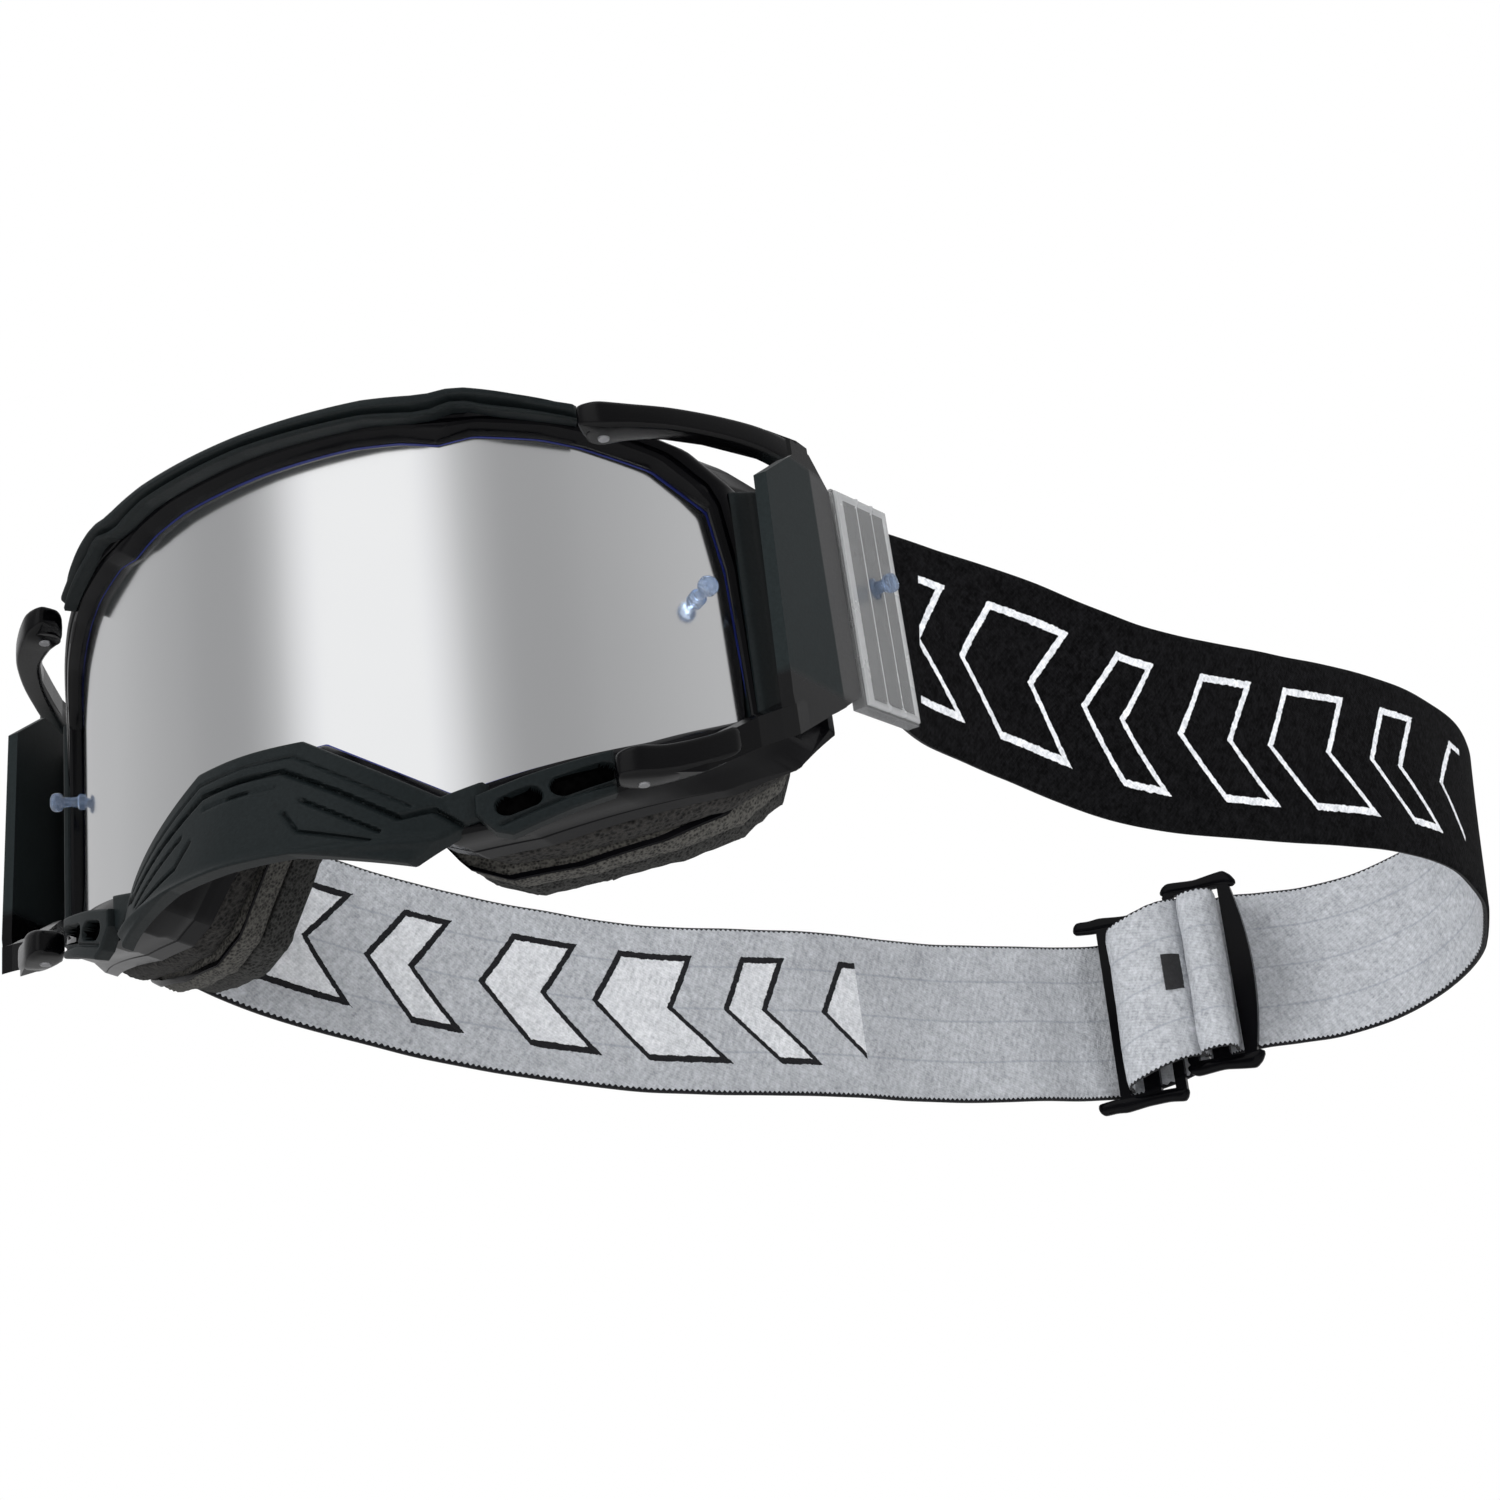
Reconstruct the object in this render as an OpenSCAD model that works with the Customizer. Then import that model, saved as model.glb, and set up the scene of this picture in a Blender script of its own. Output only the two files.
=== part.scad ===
// Motocross goggles: flexible frame, cylindrical lens, hinged outriggers, face foam and elastic strap.
// Millimetres. The lens faces -Y, +Z is up, +X is the wearer's left, the origin is in the face opening.

/* [Lens] */
// Radius of the lens about its vertical axis
lens_r = 95; // [94:0.5:96]
// Thickness of the lens
lens_t = 1.6; // [1.2:0.1:2]
// Depth from the lens front down to the origin
lens_front = 60; // [60:1:61]
// How far the lens edge reaches into the frame's groove
lens_seat = 2.2; // [1.6:0.1:2.4]
// Angle of the tear-off posts round the lens axis
post_angle = 50; // [49:0.5:50.5]
// Radius of the knob on a tear-off post
knob_r = 2; // [1.8:0.1:2.2]
// Length of the knob on a tear-off post
knob_len = 2.5; // [2:0.1:3]

/* [Frame] */
// Depth of the front rim, measured through the lens seat
rim_depth = 7.5; // [7:0.5:8]
// How far the rim stands in front of the lens surface
rim_proud = 4; // [3.5:0.5:4]
// Thickness of the frame's side walls
wall_t = 2.4; // [2:0.1:2.6]
// Radius of the flange that carries the foam
flange_r = 100; // [99:0.5:101]
// Thickness of that flange
flange_t = 2.2; // [1.8:0.1:2.4]
// Thickness of the trims on the rim
trim_t = 3.6; // [3:0.2:3.8]

/* [Foam] */
// Thickness of the coarse base layer
foam_base_t = 7; // [6:0.5:8]
// Thickness of the felt-like middle layer
foam_middle_t = 6; // [5:0.5:7]
// Thickness of the soft face layer
foam_face_t = 8; // [7:0.5:9]

/* [Outriggers] */
// Radius of a hinge pin
pin_r = 1.2; // [1:0.1:1.3]
// Running clearance round a hinge pin
pin_gap = 0.06; // [0.04:0.01:0.1]
// Thickness of the side plate
plate_t = 2.6; // [2.2:0.2:2.8]

/* [Strap] */
// Width of the strap
strap_w = 45; // [40:1:46]
// Thickness of the strap
strap_t = 1.8; // [1.4:0.1:2]
// Length of a slider along the strap
slider_len = 18.6; // [18:0.2:19]
// Height of a slider across the strap
slider_h = 55; // [53:1:57]
// Thickness of a slider
slider_t = 2.2; // [2:0.1:2.4]

/* [Hidden] */
$fn = 96;

// Axis of the lens and of the concentric front surfaces, and axis of the face side
lens_axis = lens_r - lens_front;
face_axis = 52;
rim_in = lens_r + rim_proud - rim_depth;
rim_out = lens_r + rim_proud;
foam_in_base = flange_r - foam_base_t;
foam_in_middle = foam_in_base - foam_middle_t;
foam_in_face = foam_in_middle - foam_face_t;
tall = 140;

// ---- Half outlines in front view, [x, z] from the top centre round to the bottom centre ----
LENS_OPEN = [[0, 37.3], [20, 37], [29, 36], [36, 34.2], [42, 35.2], [53, 33.5], [59, 31.6], [69, 27],
  [76, 19], [77.4, 6], [78.2, -24.8], [64, -30.3], [46, -34.5], [34, -37.5], [11.5, -23], [0, -23]];
RIM = [[0, 41], [25, 40.7], [36, 39.3], [42, 39.5], [51, 38], [61, 36.7], [67, 35], [75.5, 30.5],
  [80.5, 24], [82, 6], [82, -26], [77, -33], [66, -38.5], [60, -41], [44, -45.5], [33, -46.5],
  [27, -43.5], [16, -32], [11, -27.5], [0, -27.5]];
WALL = [[0, 40.5], [25, 40], [42, 39], [52, 38.5], [65, 36.5], [77, 32], [83, 27.5], [85.5, 18],
  [85.5, -22], [81, -31], [72, -37], [60, -40.5], [44, -45], [33, -46], [27, -43.5], [16, -32],
  [11, -27.5], [0, -27.5]];
FACE_OPEN = [[0, 29], [30, 28], [50, 25], [63, 19], [70, 10], [72, 0], [71, -18], [65, -26],
  [50, -33], [38, -34], [31, -30], [20, -17], [0, -14]];
FOAM_OPEN = [[0, 27], [30, 26], [48, 22], [57, 16], [61, 9], [62, 0], [61, -17], [56, -24], [46, -30],
  [38, -31.5], [31, -29], [20, -17], [0, -14]];
BASE_OUT = [[0, 39.5], [25, 39], [42, 38], [52, 36], [64, 31], [73, 24], [77, 16], [78.5, 4],
  [78.5, -20], [76, -30], [69, -37], [58, -41.5], [44, -45], [34, -45.5], [27, -42], [17, -30],
  [12, -25], [0, -25]];
MIDDLE_OUT = [[0, 41], [25, 40.5], [42, 39], [52, 37], [63, 32], [71, 25], [74.5, 16], [75.5, 4],
  [75.5, -20], [73, -30], [67, -38], [58, -43], [45, -47], [33, -48], [25.5, -44.5], [15, -30],
  [10, -25], [0, -25]];
FACE_OUT = [[0, 40], [25, 39.5], [42, 38], [52, 35.5], [61, 31], [67, 24], [70, 16], [71, 4],
  [71, -19], [69, -29], [63, -37], [55, -42], [43, -45.5], [32, -47], [24.5, -44], [14, -29],
  [9, -24], [0, -24]];
BROW = [[0, 43.5], [25, 43], [34, 41.7], [37, 41.6], [40, 42.2], [43, 42], [51, 39.7], [59, 38],
  [61, 37], [59.5, 35], [50, 36.9], [43, 39], [40, 39.2], [36, 38.6], [25, 40], [0, 40.5]];
GUARD = [[0, -23.5], [11.8, -23.5], [33.6, -38.8], [37.5, -40], [36.8, -45], [30.5, -52.4],
  [12.5, -48.4], [0, -48.1]];
VENT_TRIM = [[38.8, -40.6], [47, -37.8], [60.2, -33.9], [60.2, -42], [53.8, -44.4], [44.6, -48.7],
  [42, -47.5], [38.6, -43.5]];

// The half outline with its mirror image, as one closed outline
function both_sides(half) =
  concat(half, [for (i = [len(half) - 1:-1:0]) if (half[i][0] != 0) [-half[i][0], half[i][1]]]);

// Outward unit normal of the edge a-b of an outline that runs clockwise
function edge_normal(a, b) = [a[1] - b[1], b[0] - a[0]] / norm(b - a);

// The closed outline moved outward by d, with mitred corners
function grow(outline, d) =
  [for (i = [0:len(outline) - 1])
    let (
      before = outline[(i + len(outline) - 1) % len(outline)],
      after = outline[(i + 1) % len(outline)],
      n1 = edge_normal(before, outline[i]),
      n2 = edge_normal(outline[i], after)
    )
    outline[i] + (n1 + n2) * d / (1 + n1 * n2)];

// A prism along Y over a front-view outline
module front_prism(outline) {
  translate([0, tall / 2, 0]) rotate([90, 0, 0]) linear_extrude(tall) polygon(outline);
}

// A cylindrical shell about a vertical axis on the centre plane
module upright_shell(axis_y, r_in, r_out) {
  translate([0, axis_y, -tall / 2]) difference() {
    cylinder(r = r_out, h = tall, $fn = 180);
    translate([0, 0, -1]) cylinder(r = r_in, h = tall + 2, $fn = 180);
  }
}

// Everything in front of the plane y = back
module front_half(back) {
  translate([-tall, back - 2 * tall, -tall / 2]) cube([2 * tall, 2 * tall, tall]);
}

module lens_shell(r_in, r_out) { upright_shell(lens_axis, r_in, r_out); }
module face_shell(r_in, r_out) { upright_shell(face_axis, r_in, r_out); }

// Places a child on the +X side, or mirrors it to the other
module on_side(side) {
  if (side > 0) children();
  else mirror([1, 0, 0]) children();
}

// ---- Lens and tear-off posts ----
module at_lens_post() {
  translate([0, lens_axis, 0]) rotate([0, 0, post_angle]) rotate([90, 0, 0]) children();
}

module lens() {
  color("silver") difference() {
    intersection() {
      lens_shell(lens_r - lens_t, lens_r);
      front_prism(grow(both_sides(LENS_OPEN), lens_seat));
      front_half(-5);
    }
    for (side = [-1, 1]) on_side(side) at_lens_post() cylinder(r = 1.35, h = lens_r + 5);
  }
}

module lens_post(side) {
  color("lightsteelblue") on_side(side) at_lens_post() {
    translate([0, 0, lens_r - lens_t - 0.8]) cylinder(r = 1.3, h = lens_t + 0.8 + 4.4);
    translate([0, 0, lens_r + 0.1]) cylinder(r = 1.7, h = 0.9);
    translate([0, 0, lens_r + 4.4]) cylinder(r = knob_r, h = knob_len);
  }
}

// ---- Frame ----
// Hinge axis of an outrigger: vertical, through [hinge_x, hinge_y]
hinge_x = 66.5;
hinge_y = -45;
barrel_r = 3.2;
upper_barrel = [28.8, 33.8];
lower_barrel = [-41, -36];
ear_t = 1.8;
ear_gap = 0.25;

module ear(z_low, h) {
  translate([hinge_x, hinge_y, z_low]) cylinder(r = barrel_r, h = h);
  translate([0, lens_axis, z_low]) rotate([0, 0, atan2(hinge_x, lens_axis - hinge_y)])
    translate([-2.6, -norm([hinge_x, lens_axis - hinge_y]), 0]) cube([5.2, 9, h]);
}

// Two ears and the boss that carries them, round the barrel's span of heights
module hinge_lug(span) {
  low = span[0] - ear_gap - ear_t;
  high = span[1] + ear_gap;
  ear(low, ear_t);
  ear(high, ear_t);
  intersection() {
    lens_shell(rim_in + 1, rim_out + 1.2);
    translate([0, lens_axis, low]) rotate([0, 0, atan2(hinge_x, lens_axis - hinge_y)])
      translate([-2.6, -110, 0]) cube([5.2, 40, high + ear_t - low]);
  }
}

// The slots in a lower vent trim, also cut through the rim behind it
VENT_SLOTS = [[[42.5, -41.6], [48.5, -39.8], [50, -42.2], [44.8, -45]],
  [[50.5, -39.2], [59, -36.4], [59, -38.8], [51.8, -41.6]]];

module vent_slots() {
  for (slot = VENT_SLOTS) front_prism(slot);
}

module top_vents() {
  for (x = [-36, -12, 12, 36])
    translate([x - 8, -tall / 2, 34]) cube([16, 18.5, 12]);
}

module frame_wall() {
  difference() {
    intersection() {
      front_prism(both_sides(WALL));
      translate([0, lens_axis, -tall / 2]) cylinder(r = rim_in + 2, h = tall, $fn = 180);
    }
    front_prism(grow(both_sides(WALL), -wall_t));
    translate([0, face_axis, -tall]) cylinder(r = flange_r, h = 2 * tall, $fn = 180);
    translate([0, 60, 0]) cube([300, 80, 300], center = true);
  }
}

module frame_flange() {
  intersection() {
    face_shell(flange_r, flange_r + flange_t);
    difference() {
      front_prism(both_sides(WALL));
      front_prism(both_sides(FACE_OPEN));
    }
    front_half(15);
  }
}

module frame_rim() {
  intersection() {
    lens_shell(rim_in, rim_out);
    difference() {
      front_prism(both_sides(RIM));
      front_prism(both_sides(LENS_OPEN));
    }
    front_half(-5);
  }
}

module frame_body() {
  color("dimgray") difference() {
    union() {
      frame_rim();
      frame_wall();
      frame_flange();
      for (side = [-1, 1]) on_side(side) {
        hinge_lug(upper_barrel);
        hinge_lug(lower_barrel);
      }
    }
    intersection() {
      lens_shell(lens_r - lens_t - 0.15, lens_r + 0.15);
      front_prism(grow(both_sides(LENS_OPEN), lens_seat + 0.3));
    }
    for (side = [-1, 1]) on_side(side) {
      at_lens_post() cylinder(r = 2.9, h = 120);
      vent_slots();
      translate([hinge_x, hinge_y, -60]) cylinder(r = pin_r, h = 120);
    }
  }
}

module brow_trim() {
  color("black") intersection() {
    lens_shell(rim_out + 0.15, rim_out + 0.15 + trim_t);
    front_prism(both_sides(BROW));
    front_half(-5);
  }
}

// The guard is a leaning arch of a smaller radius, cut to lie on the rim
guard_top = -23.5;
guard_lean = 17;
guard_r = 43.8;
guard_t = 3.2;
guard_y = -lens_front - rim_proud - 0.4;

module nose_guard() {
  color("darkslategray") difference() {
    intersection() {
      translate([0, guard_y, guard_top]) rotate([-guard_lean, 0, 0])
        upright_shell(guard_r, guard_r, guard_r + guard_t);
      translate([0, -tall / 4, 0]) front_prism(both_sides(GUARD));
      front_half(-25);
    }
    translate([0, lens_axis, -tall / 2]) cylinder(r = rim_out + 0.15, h = tall, $fn = 180);
  }
}

module vent_trim(side) {
  color("darkslategray") on_side(side) difference() {
    intersection() {
      lens_shell(rim_out + 0.15, rim_out + 3);
      front_prism(VENT_TRIM);
      front_half(-5);
    }
    vent_slots();
  }
}

// ---- Outriggers ----
// Side plate seen from the side, [y, z]
PLATE_SIDE = [[-28.5, 20], [-17, 28.5], [-17, 32.2], [-10, 31.4], [-4, 25.5], [-4, -19], [-11, -23.4],
  [-29.5, -34], [-30.5, -27]];
plate_x = 94.4;
plate_slant = 7.3;

// Arms seen from above: the outer edge from the hinge to the plate, then the inner edge back
ARM_PLAN = [[66.5, -48.2], [70, -46.5], [77, -40.5], [84, -31.5], [90, -21], [92.9, -14], [93.4, -10],
  [90.4, -10], [89, -14], [85, -21.5], [80, -30.5], [74, -38], [68.5, -42.6], [66.5, -41.8]];

// The lower arm rises to the plate in side view, [y, z], and has a window in front view, [x, z]
LOW_ARM_SIDE = [[-50, -36], [-41.2, -36], [-30, -28.5], [-16, -20], [-9, -20], [-9, -22.4], [-17, -27],
  [-30.4, -34.7], [-41, -41], [-50, -41]];
LOW_ARM_GAP = [[71.5, -37.4], [80, -34.4], [80, -35.6], [75, -38.6], [71.5, -39.3]];
// A shelf that widens the lower arm under the plate, [x, y]
ARM_SHELF = [[85, -21.5], [84, -31.5], [88.2, -30.5], [91.2, -30.2], [92.5, -16], [88, -16]];

module barrel(span) {
  translate([hinge_x, hinge_y, span[0]]) cylinder(r = barrel_r, h = span[1] - span[0]);
}

module side_plate() {
  intersection() {
    translate([plate_x, -4, 0]) rotate([0, 0, -plate_slant])
      translate([-plate_t, -32, -60]) cube([plate_t, 32.4, 120]);
    rotate([90, 0, 90]) linear_extrude(120) polygon(PLATE_SIDE);
  }
}

module outrigger(side) {
  color("black") on_side(side) difference() {
    union() {
      side_plate();
      translate([0, 0, upper_barrel[0]]) linear_extrude(4.2) polygon(ARM_PLAN);
      intersection() {
        translate([0, 0, -45]) linear_extrude(30) polygon(ARM_PLAN);
        rotate([90, 0, 90]) linear_extrude(120) polygon(LOW_ARM_SIDE);
      }
      intersection() {
        translate([0, 0, -36]) linear_extrude(9) polygon(ARM_SHELF);
        rotate([90, 0, 90]) linear_extrude(120) polygon(LOW_ARM_SIDE);
      }
      barrel(upper_barrel);
      barrel(lower_barrel);
    }
    front_prism(LOW_ARM_GAP);
    translate([hinge_x, hinge_y, -60]) cylinder(r = pin_r + pin_gap, h = 120);
  }
}

module hinge_pin(side, span) {
  color("gray") on_side(side)
    translate([hinge_x, hinge_y, span[0] - ear_gap - ear_t])
      cylinder(r = pin_r, h = span[1] - span[0] + 2 * (ear_gap + ear_t));
}

// ---- Strap clips ----
// Outer face of a clip, [along the strap, z]
CLIP = [[0, -21], [0, 26.5], [22.6, 30], [22.6, -18.4]];
clip_t = 2.6;
clip_slant = 7.1;
clip_post_at = [12.3, 8.5];

module at_clip() {
  translate([94.7, -3.4, 0]) rotate([0, 0, -clip_slant]) rotate([90, 0, 90]) children();
}

module clip(side) {
  color([0.7, 0.7, 0.7, 0.6]) on_side(side) at_clip() difference() {
    union() {
      translate([0, 0, -clip_t]) linear_extrude(clip_t) polygon(CLIP);
      translate([0, 0, -5.1]) linear_extrude(5.1) polygon([[0.2, -18], [0.2, 23], [2.6, 23], [2.6, -18]]);
      translate([0, 0, -5.1]) linear_extrude(2.1) polygon([[-6, -18], [-6, 22], [1, 23], [1, -18]]);
    }
    translate([clip_post_at[0], clip_post_at[1], -10]) cylinder(r = 1.32, h = 20);
  }
}

module clip_post(side) {
  color("lightgray") on_side(side) at_clip() translate([clip_post_at[0], clip_post_at[1], 0]) {
    translate([0, 0, -clip_t]) cylinder(r = 1.3, h = clip_t + 2.6);
    translate([0, 0, 2.6]) cylinder(r = knob_r, h = knob_len);
  }
}

// ---- Strap ----
// Centre line of the strap, [x, y, z, lean of its width from upright in degrees]. It runs from the
// wearer's left clip round the back, behind the two sliders and on to the right clip.
ROUTE = [[91.5, 7, 5, 0], [93, 19, 6, 0], [98, 34, 5, 7], [109, 57, 2, 15], [126, 86, -4, 18],
  [145, 117, -4, 13], [165, 150, -3, 6], [178, 177, -4.5, 4], [182.5, 200, -10, 7], [177, 220, -16.5, 10],
  [163.5, 234, -21.5, 10], [147, 241, -24, 8], [132, 240, -25.2, 6], [121, 234, -25.8, 5],
  [112.5, 228, -26.2, 4], [103, 226, -27, 4], [94, 226, -29, 4], [84, 226, -31.3, 4],
  [74.5, 225.6, -32, 3], [65, 217.6, -32.2, 3], [55, 203, -32.5, 4], [38, 183, -32.5, 3],
  [14, 149, -31, 2], [-16, 112, -30, 5], [-45, 82, -23, 5], [-68, 59, -14, 6], [-86, 42, -4, 5],
  [-93, 30, 3, 2], [-93, 19, 6, 0], [-91.5, 7, 5, 0]];
// The route point between the sliders, where the two halves of the strap meet
strap_split = 16;

// Smooth curve through the route: t counts its points
function route_point(i) = ROUTE[max(0, min(len(ROUTE) - 1, i))];
function route_at(t) =
  let (
    i = min(floor(t), len(ROUTE) - 2),
    f = t - i,
    a = i == 0 ? 2 * route_point(0) - route_point(1) : route_point(i - 1),
    b = route_point(i),
    c = route_point(i + 1),
    d = i + 2 > len(ROUTE) - 1 ? 2 * route_point(i + 1) - route_point(i) : route_point(i + 2)
  )
  0.5 * (2 * b + (c - a) * f + (2 * a - 5 * b + 4 * c - d) * f * f + (3 * b - a - 3 * c + d) * f * f * f);

function unit(v) = v / norm(v);
function xyz(p) = [p[0], p[1], p[2]];

// The strap's four corners at t: outside bottom, outside top, inside top, inside bottom
function strap_section(t, thick) =
  let (
    p = route_at(t),
    along = unit(xyz(route_at(min(t + 0.02, len(ROUTE) - 1))) - xyz(route_at(max(t - 0.02, 0)))),
    upright = unit([0, 0, 1] - along * along[2]),
    sideways = cross(along, upright),
    across = upright * cos(p[3]) + sideways * sin(p[3]),
    out = cross(along, across),
    c = xyz(p)
  )
  [
    c + out * thick / 2 - across * strap_w / 2, c + out * thick / 2 + across * strap_w / 2,
    c - out * thick / 2 + across * strap_w / 2, c - out * thick / 2 - across * strap_w / 2
  ];

module strap_band(t_from, t_to, rings, thick) {
  sections = [for (i = [0:rings]) strap_section(t_from + (t_to - t_from) * i / rings, thick)];
  points = [for (s = sections) for (p = s) p];
  sides = [for (i = [0:rings - 1]) for (k = [0:3]) for (half = [0, 1])
    let (a = 4 * i + k, b = 4 * i + (k + 1) % 4)
    half == 0 ? [a, b, b + 4] : [a, b + 4, a + 4]];
  last = 4 * rings;
  ends = [[2, 1, 0], [3, 2, 0], [last, last + 1, last + 2], [last, last + 2, last + 3]];
  polyhedron(points, concat(sides, ends));
}

module strap_end(t_from, t_to) {
  color("black") strap_band(t_from, t_to, 14, strap_t + 0.6);
}

module strap(t_from, t_to, rings) {
  color("lightgray") strap_band(t_from, t_to, rings, strap_t);
}

// ---- Sliders: each stands in front of the strap, +X along it and +Z across it ----
slider_plane = 220.4;
slider_right_at = [83.5, slider_plane, -31.8];
slider_left_at = [103.8, slider_plane, -26.6];
slider_tilt = 2.5;
bar_w = 3;
centre_bar = 4.6;
slot_w = (slider_len - 2 * bar_w - centre_bar) / 2;
wing = 6.5;
bulge = 3;
rail_z = strap_w / 2 + 1;

module at_slider(place) {
  translate(place) rotate([0, slider_tilt, 0]) rotate([90, 0, 0]) children();
}

module slots() {
  for (x = [-centre_bar / 2 - slot_w, centre_bar / 2])
    translate([x, -rail_z]) square([slot_w, 2 * rail_z]);
}

// Slider with winged corners on its outer side
module slider_winged(place) {
  color("black") at_slider(place) linear_extrude(slider_t, center = true) difference() {
    polygon([
      [-slider_len / 2, -rail_z - 0.6], [-slider_len / 2 - wing, -rail_z - 1.2],
      [-slider_len / 2 - wing + 2.5, -slider_h / 2], [-3, -slider_h / 2 + 2.4],
      [slider_len / 2 - 1.5, -slider_h / 2 + 1], [slider_len / 2, -slider_h / 2 + 3],
      [slider_len / 2, slider_h / 2 - 3], [slider_len / 2 - 1.5, slider_h / 2 - 1],
      [-3, slider_h / 2 - 2.4], [-slider_len / 2 - wing + 2.5, slider_h / 2],
      [-slider_len / 2 - wing, rail_z + 1.2], [-slider_len / 2, rail_z + 0.6]
    ]);
    slots();
  }
}

// Slider with a bowed outer bar
module slider_bowed(place) {
  half = slider_h / 2 - 3;
  bow_r = (half * half + bulge * bulge) / (2 * bulge);
  color("black") at_slider(place) linear_extrude(slider_t, center = true) difference() {
    union() {
      polygon([
        [-slider_len / 2, -slider_h / 2 + 4], [-slider_len / 2 + 2, -slider_h / 2 + 1],
        [0, -slider_h / 2 + 2.4], [slider_len / 2 - 3, -slider_h / 2], [slider_len / 2, -half],
        [slider_len / 2, half], [slider_len / 2 - 3, slider_h / 2], [0, slider_h / 2 - 2.4],
        [-slider_len / 2 + 2, slider_h / 2 - 1], [-slider_len / 2, slider_h / 2 - 4]
      ]);
      intersection() {
        translate([slider_len / 2 + bulge - bow_r, 0]) circle(r = bow_r, $fn = 180);
        translate([0, -half]) square([slider_len, 2 * half]);
      }
    }
    slots();
  }
}

// Webbing that comes up through the slots, as an arch over the bars
fold_t = 1.6;
fold_wide_r = 8.4;
fold_narrow_r = centre_bar / 2 + slot_w - 0.6;

module fold_arch(r) {
  rotate([90, 0, 0]) translate([0, 0, -strap_w / 2]) difference() {
    cylinder(r = r, h = strap_w);
    translate([0, 0, -1]) cylinder(r = r - fold_t, h = strap_w + 2);
    translate([-tall / 2, -tall - slider_t / 2, -1]) cube([tall, tall, strap_w + 2]);
  }
}

module strap_fold_narrow() {
  color("lightgray") at_slider(slider_left_at) fold_arch(fold_narrow_r);
}

// The wide arch starts in the outer slot and ends above the inner bar
module strap_fold_wide() {
  shift = fold_wide_r - fold_narrow_r;
  color("lightgray") at_slider(slider_right_at) difference() {
    translate([shift, 0, 0]) fold_arch(fold_wide_r);
    translate([shift, -tall / 2, -tall + slider_t / 2 + 0.4]) cube([tall, tall, tall]);
  }
}

module bartack() {
  shift = fold_wide_r - fold_narrow_r;
  color("black") at_slider(slider_right_at) intersection() {
    translate([shift, 0, 0]) rotate([90, 0, 0]) translate([0, 0, -11]) difference() {
      cylinder(r = fold_wide_r + 0.9, h = 11);
      translate([0, 0, -1]) cylinder(r = fold_wide_r + 0.1, h = 13);
    }
    translate([shift + 2, 0, 2]) cube([6, 20, 8]);
  }
}

// ---- Foam ----
module foam_layer(outline, r_in, r_out) {
  intersection() {
    face_shell(r_in, r_out);
    difference() {
      front_prism(both_sides(outline));
      front_prism(both_sides(FOAM_OPEN));
    }
    front_half(40);
  }
}

module foam_base() {
  color("black") foam_layer(BASE_OUT, foam_in_base + 0.1, flange_r - 0.1);
}

module foam_middle() {
  color("gray") foam_layer(MIDDLE_OUT, foam_in_middle + 0.1, foam_in_base);
}

module foam_face() {
  color([0.1, 0.1, 0.1]) foam_layer(FACE_OUT, foam_in_face, foam_in_middle);
}

// Thin pads inside the walls, behind the vents
module vent_pad(outline) {
  difference() {
    intersection() {
      front_prism(outline);
      translate([0, lens_axis, -tall / 2]) cylinder(r = rim_in - 0.4, h = tall, $fn = 180);
      front_half(-10);
    }
    translate([0, face_axis, -tall]) cylinder(r = flange_r + flange_t + 0.3, h = 2 * tall, $fn = 180);
  }
}

module vent_foam_upper() {
  color("black") vent_pad([[-48, 35.1], [-42, 36.2], [-25, 37.3], [0, 37.8], [25, 37.3], [42, 36.2],
    [48, 35.1], [48, 33.1], [42, 34.2], [25, 35.3], [0, 35.8], [-25, 35.3], [-42, 34.2], [-48, 33.1]]);
}

module vent_foam_lower(side) {
  color("black") on_side(side)
    vent_pad([[36, -41], [60, -36], [60, -38], [44, -42.3], [36, -43.1]]);
}

frame_body();
brow_trim();
nose_guard();
vent_trim(1);  // vent_trim_left
vent_trim(-1);  // vent_trim_right
lens();
lens_post(1);  // lens_post_left
lens_post(-1);  // lens_post_right
outrigger(1);  // outrigger_left
outrigger(-1);  // outrigger_right
hinge_pin(1, upper_barrel);  // hinge_pin_upper_left
hinge_pin(1, lower_barrel);  // hinge_pin_lower_left
hinge_pin(-1, upper_barrel);  // hinge_pin_upper_right
hinge_pin(-1, lower_barrel);  // hinge_pin_lower_right
clip(1);  // clip_left
clip(-1);  // clip_right
clip_post(1);  // clip_post_left
clip_post(-1);  // clip_post_right
strap_end(0, 2);  // strap_end_left
strap_end(len(ROUTE) - 3, len(ROUTE) - 1);  // strap_end_right
strap(2.2, strap_split - 0.02, 72);  // strap_left
strap(strap_split + 0.02, len(ROUTE) - 3.35, 60);  // strap_right
slider_bowed(slider_left_at);  // slider_left
slider_winged(slider_right_at);  // slider_right
strap_fold_narrow();  // strap_fold_left
strap_fold_wide();  // strap_fold_right
bartack();
foam_base();
foam_middle();
foam_face();
vent_foam_upper();
vent_foam_lower(1);  // vent_foam_lower_left
vent_foam_lower(-1);  // vent_foam_lower_right
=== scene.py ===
import math

import bmesh
import bpy
import numpy as np
from mathutils import Matrix, Vector


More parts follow.
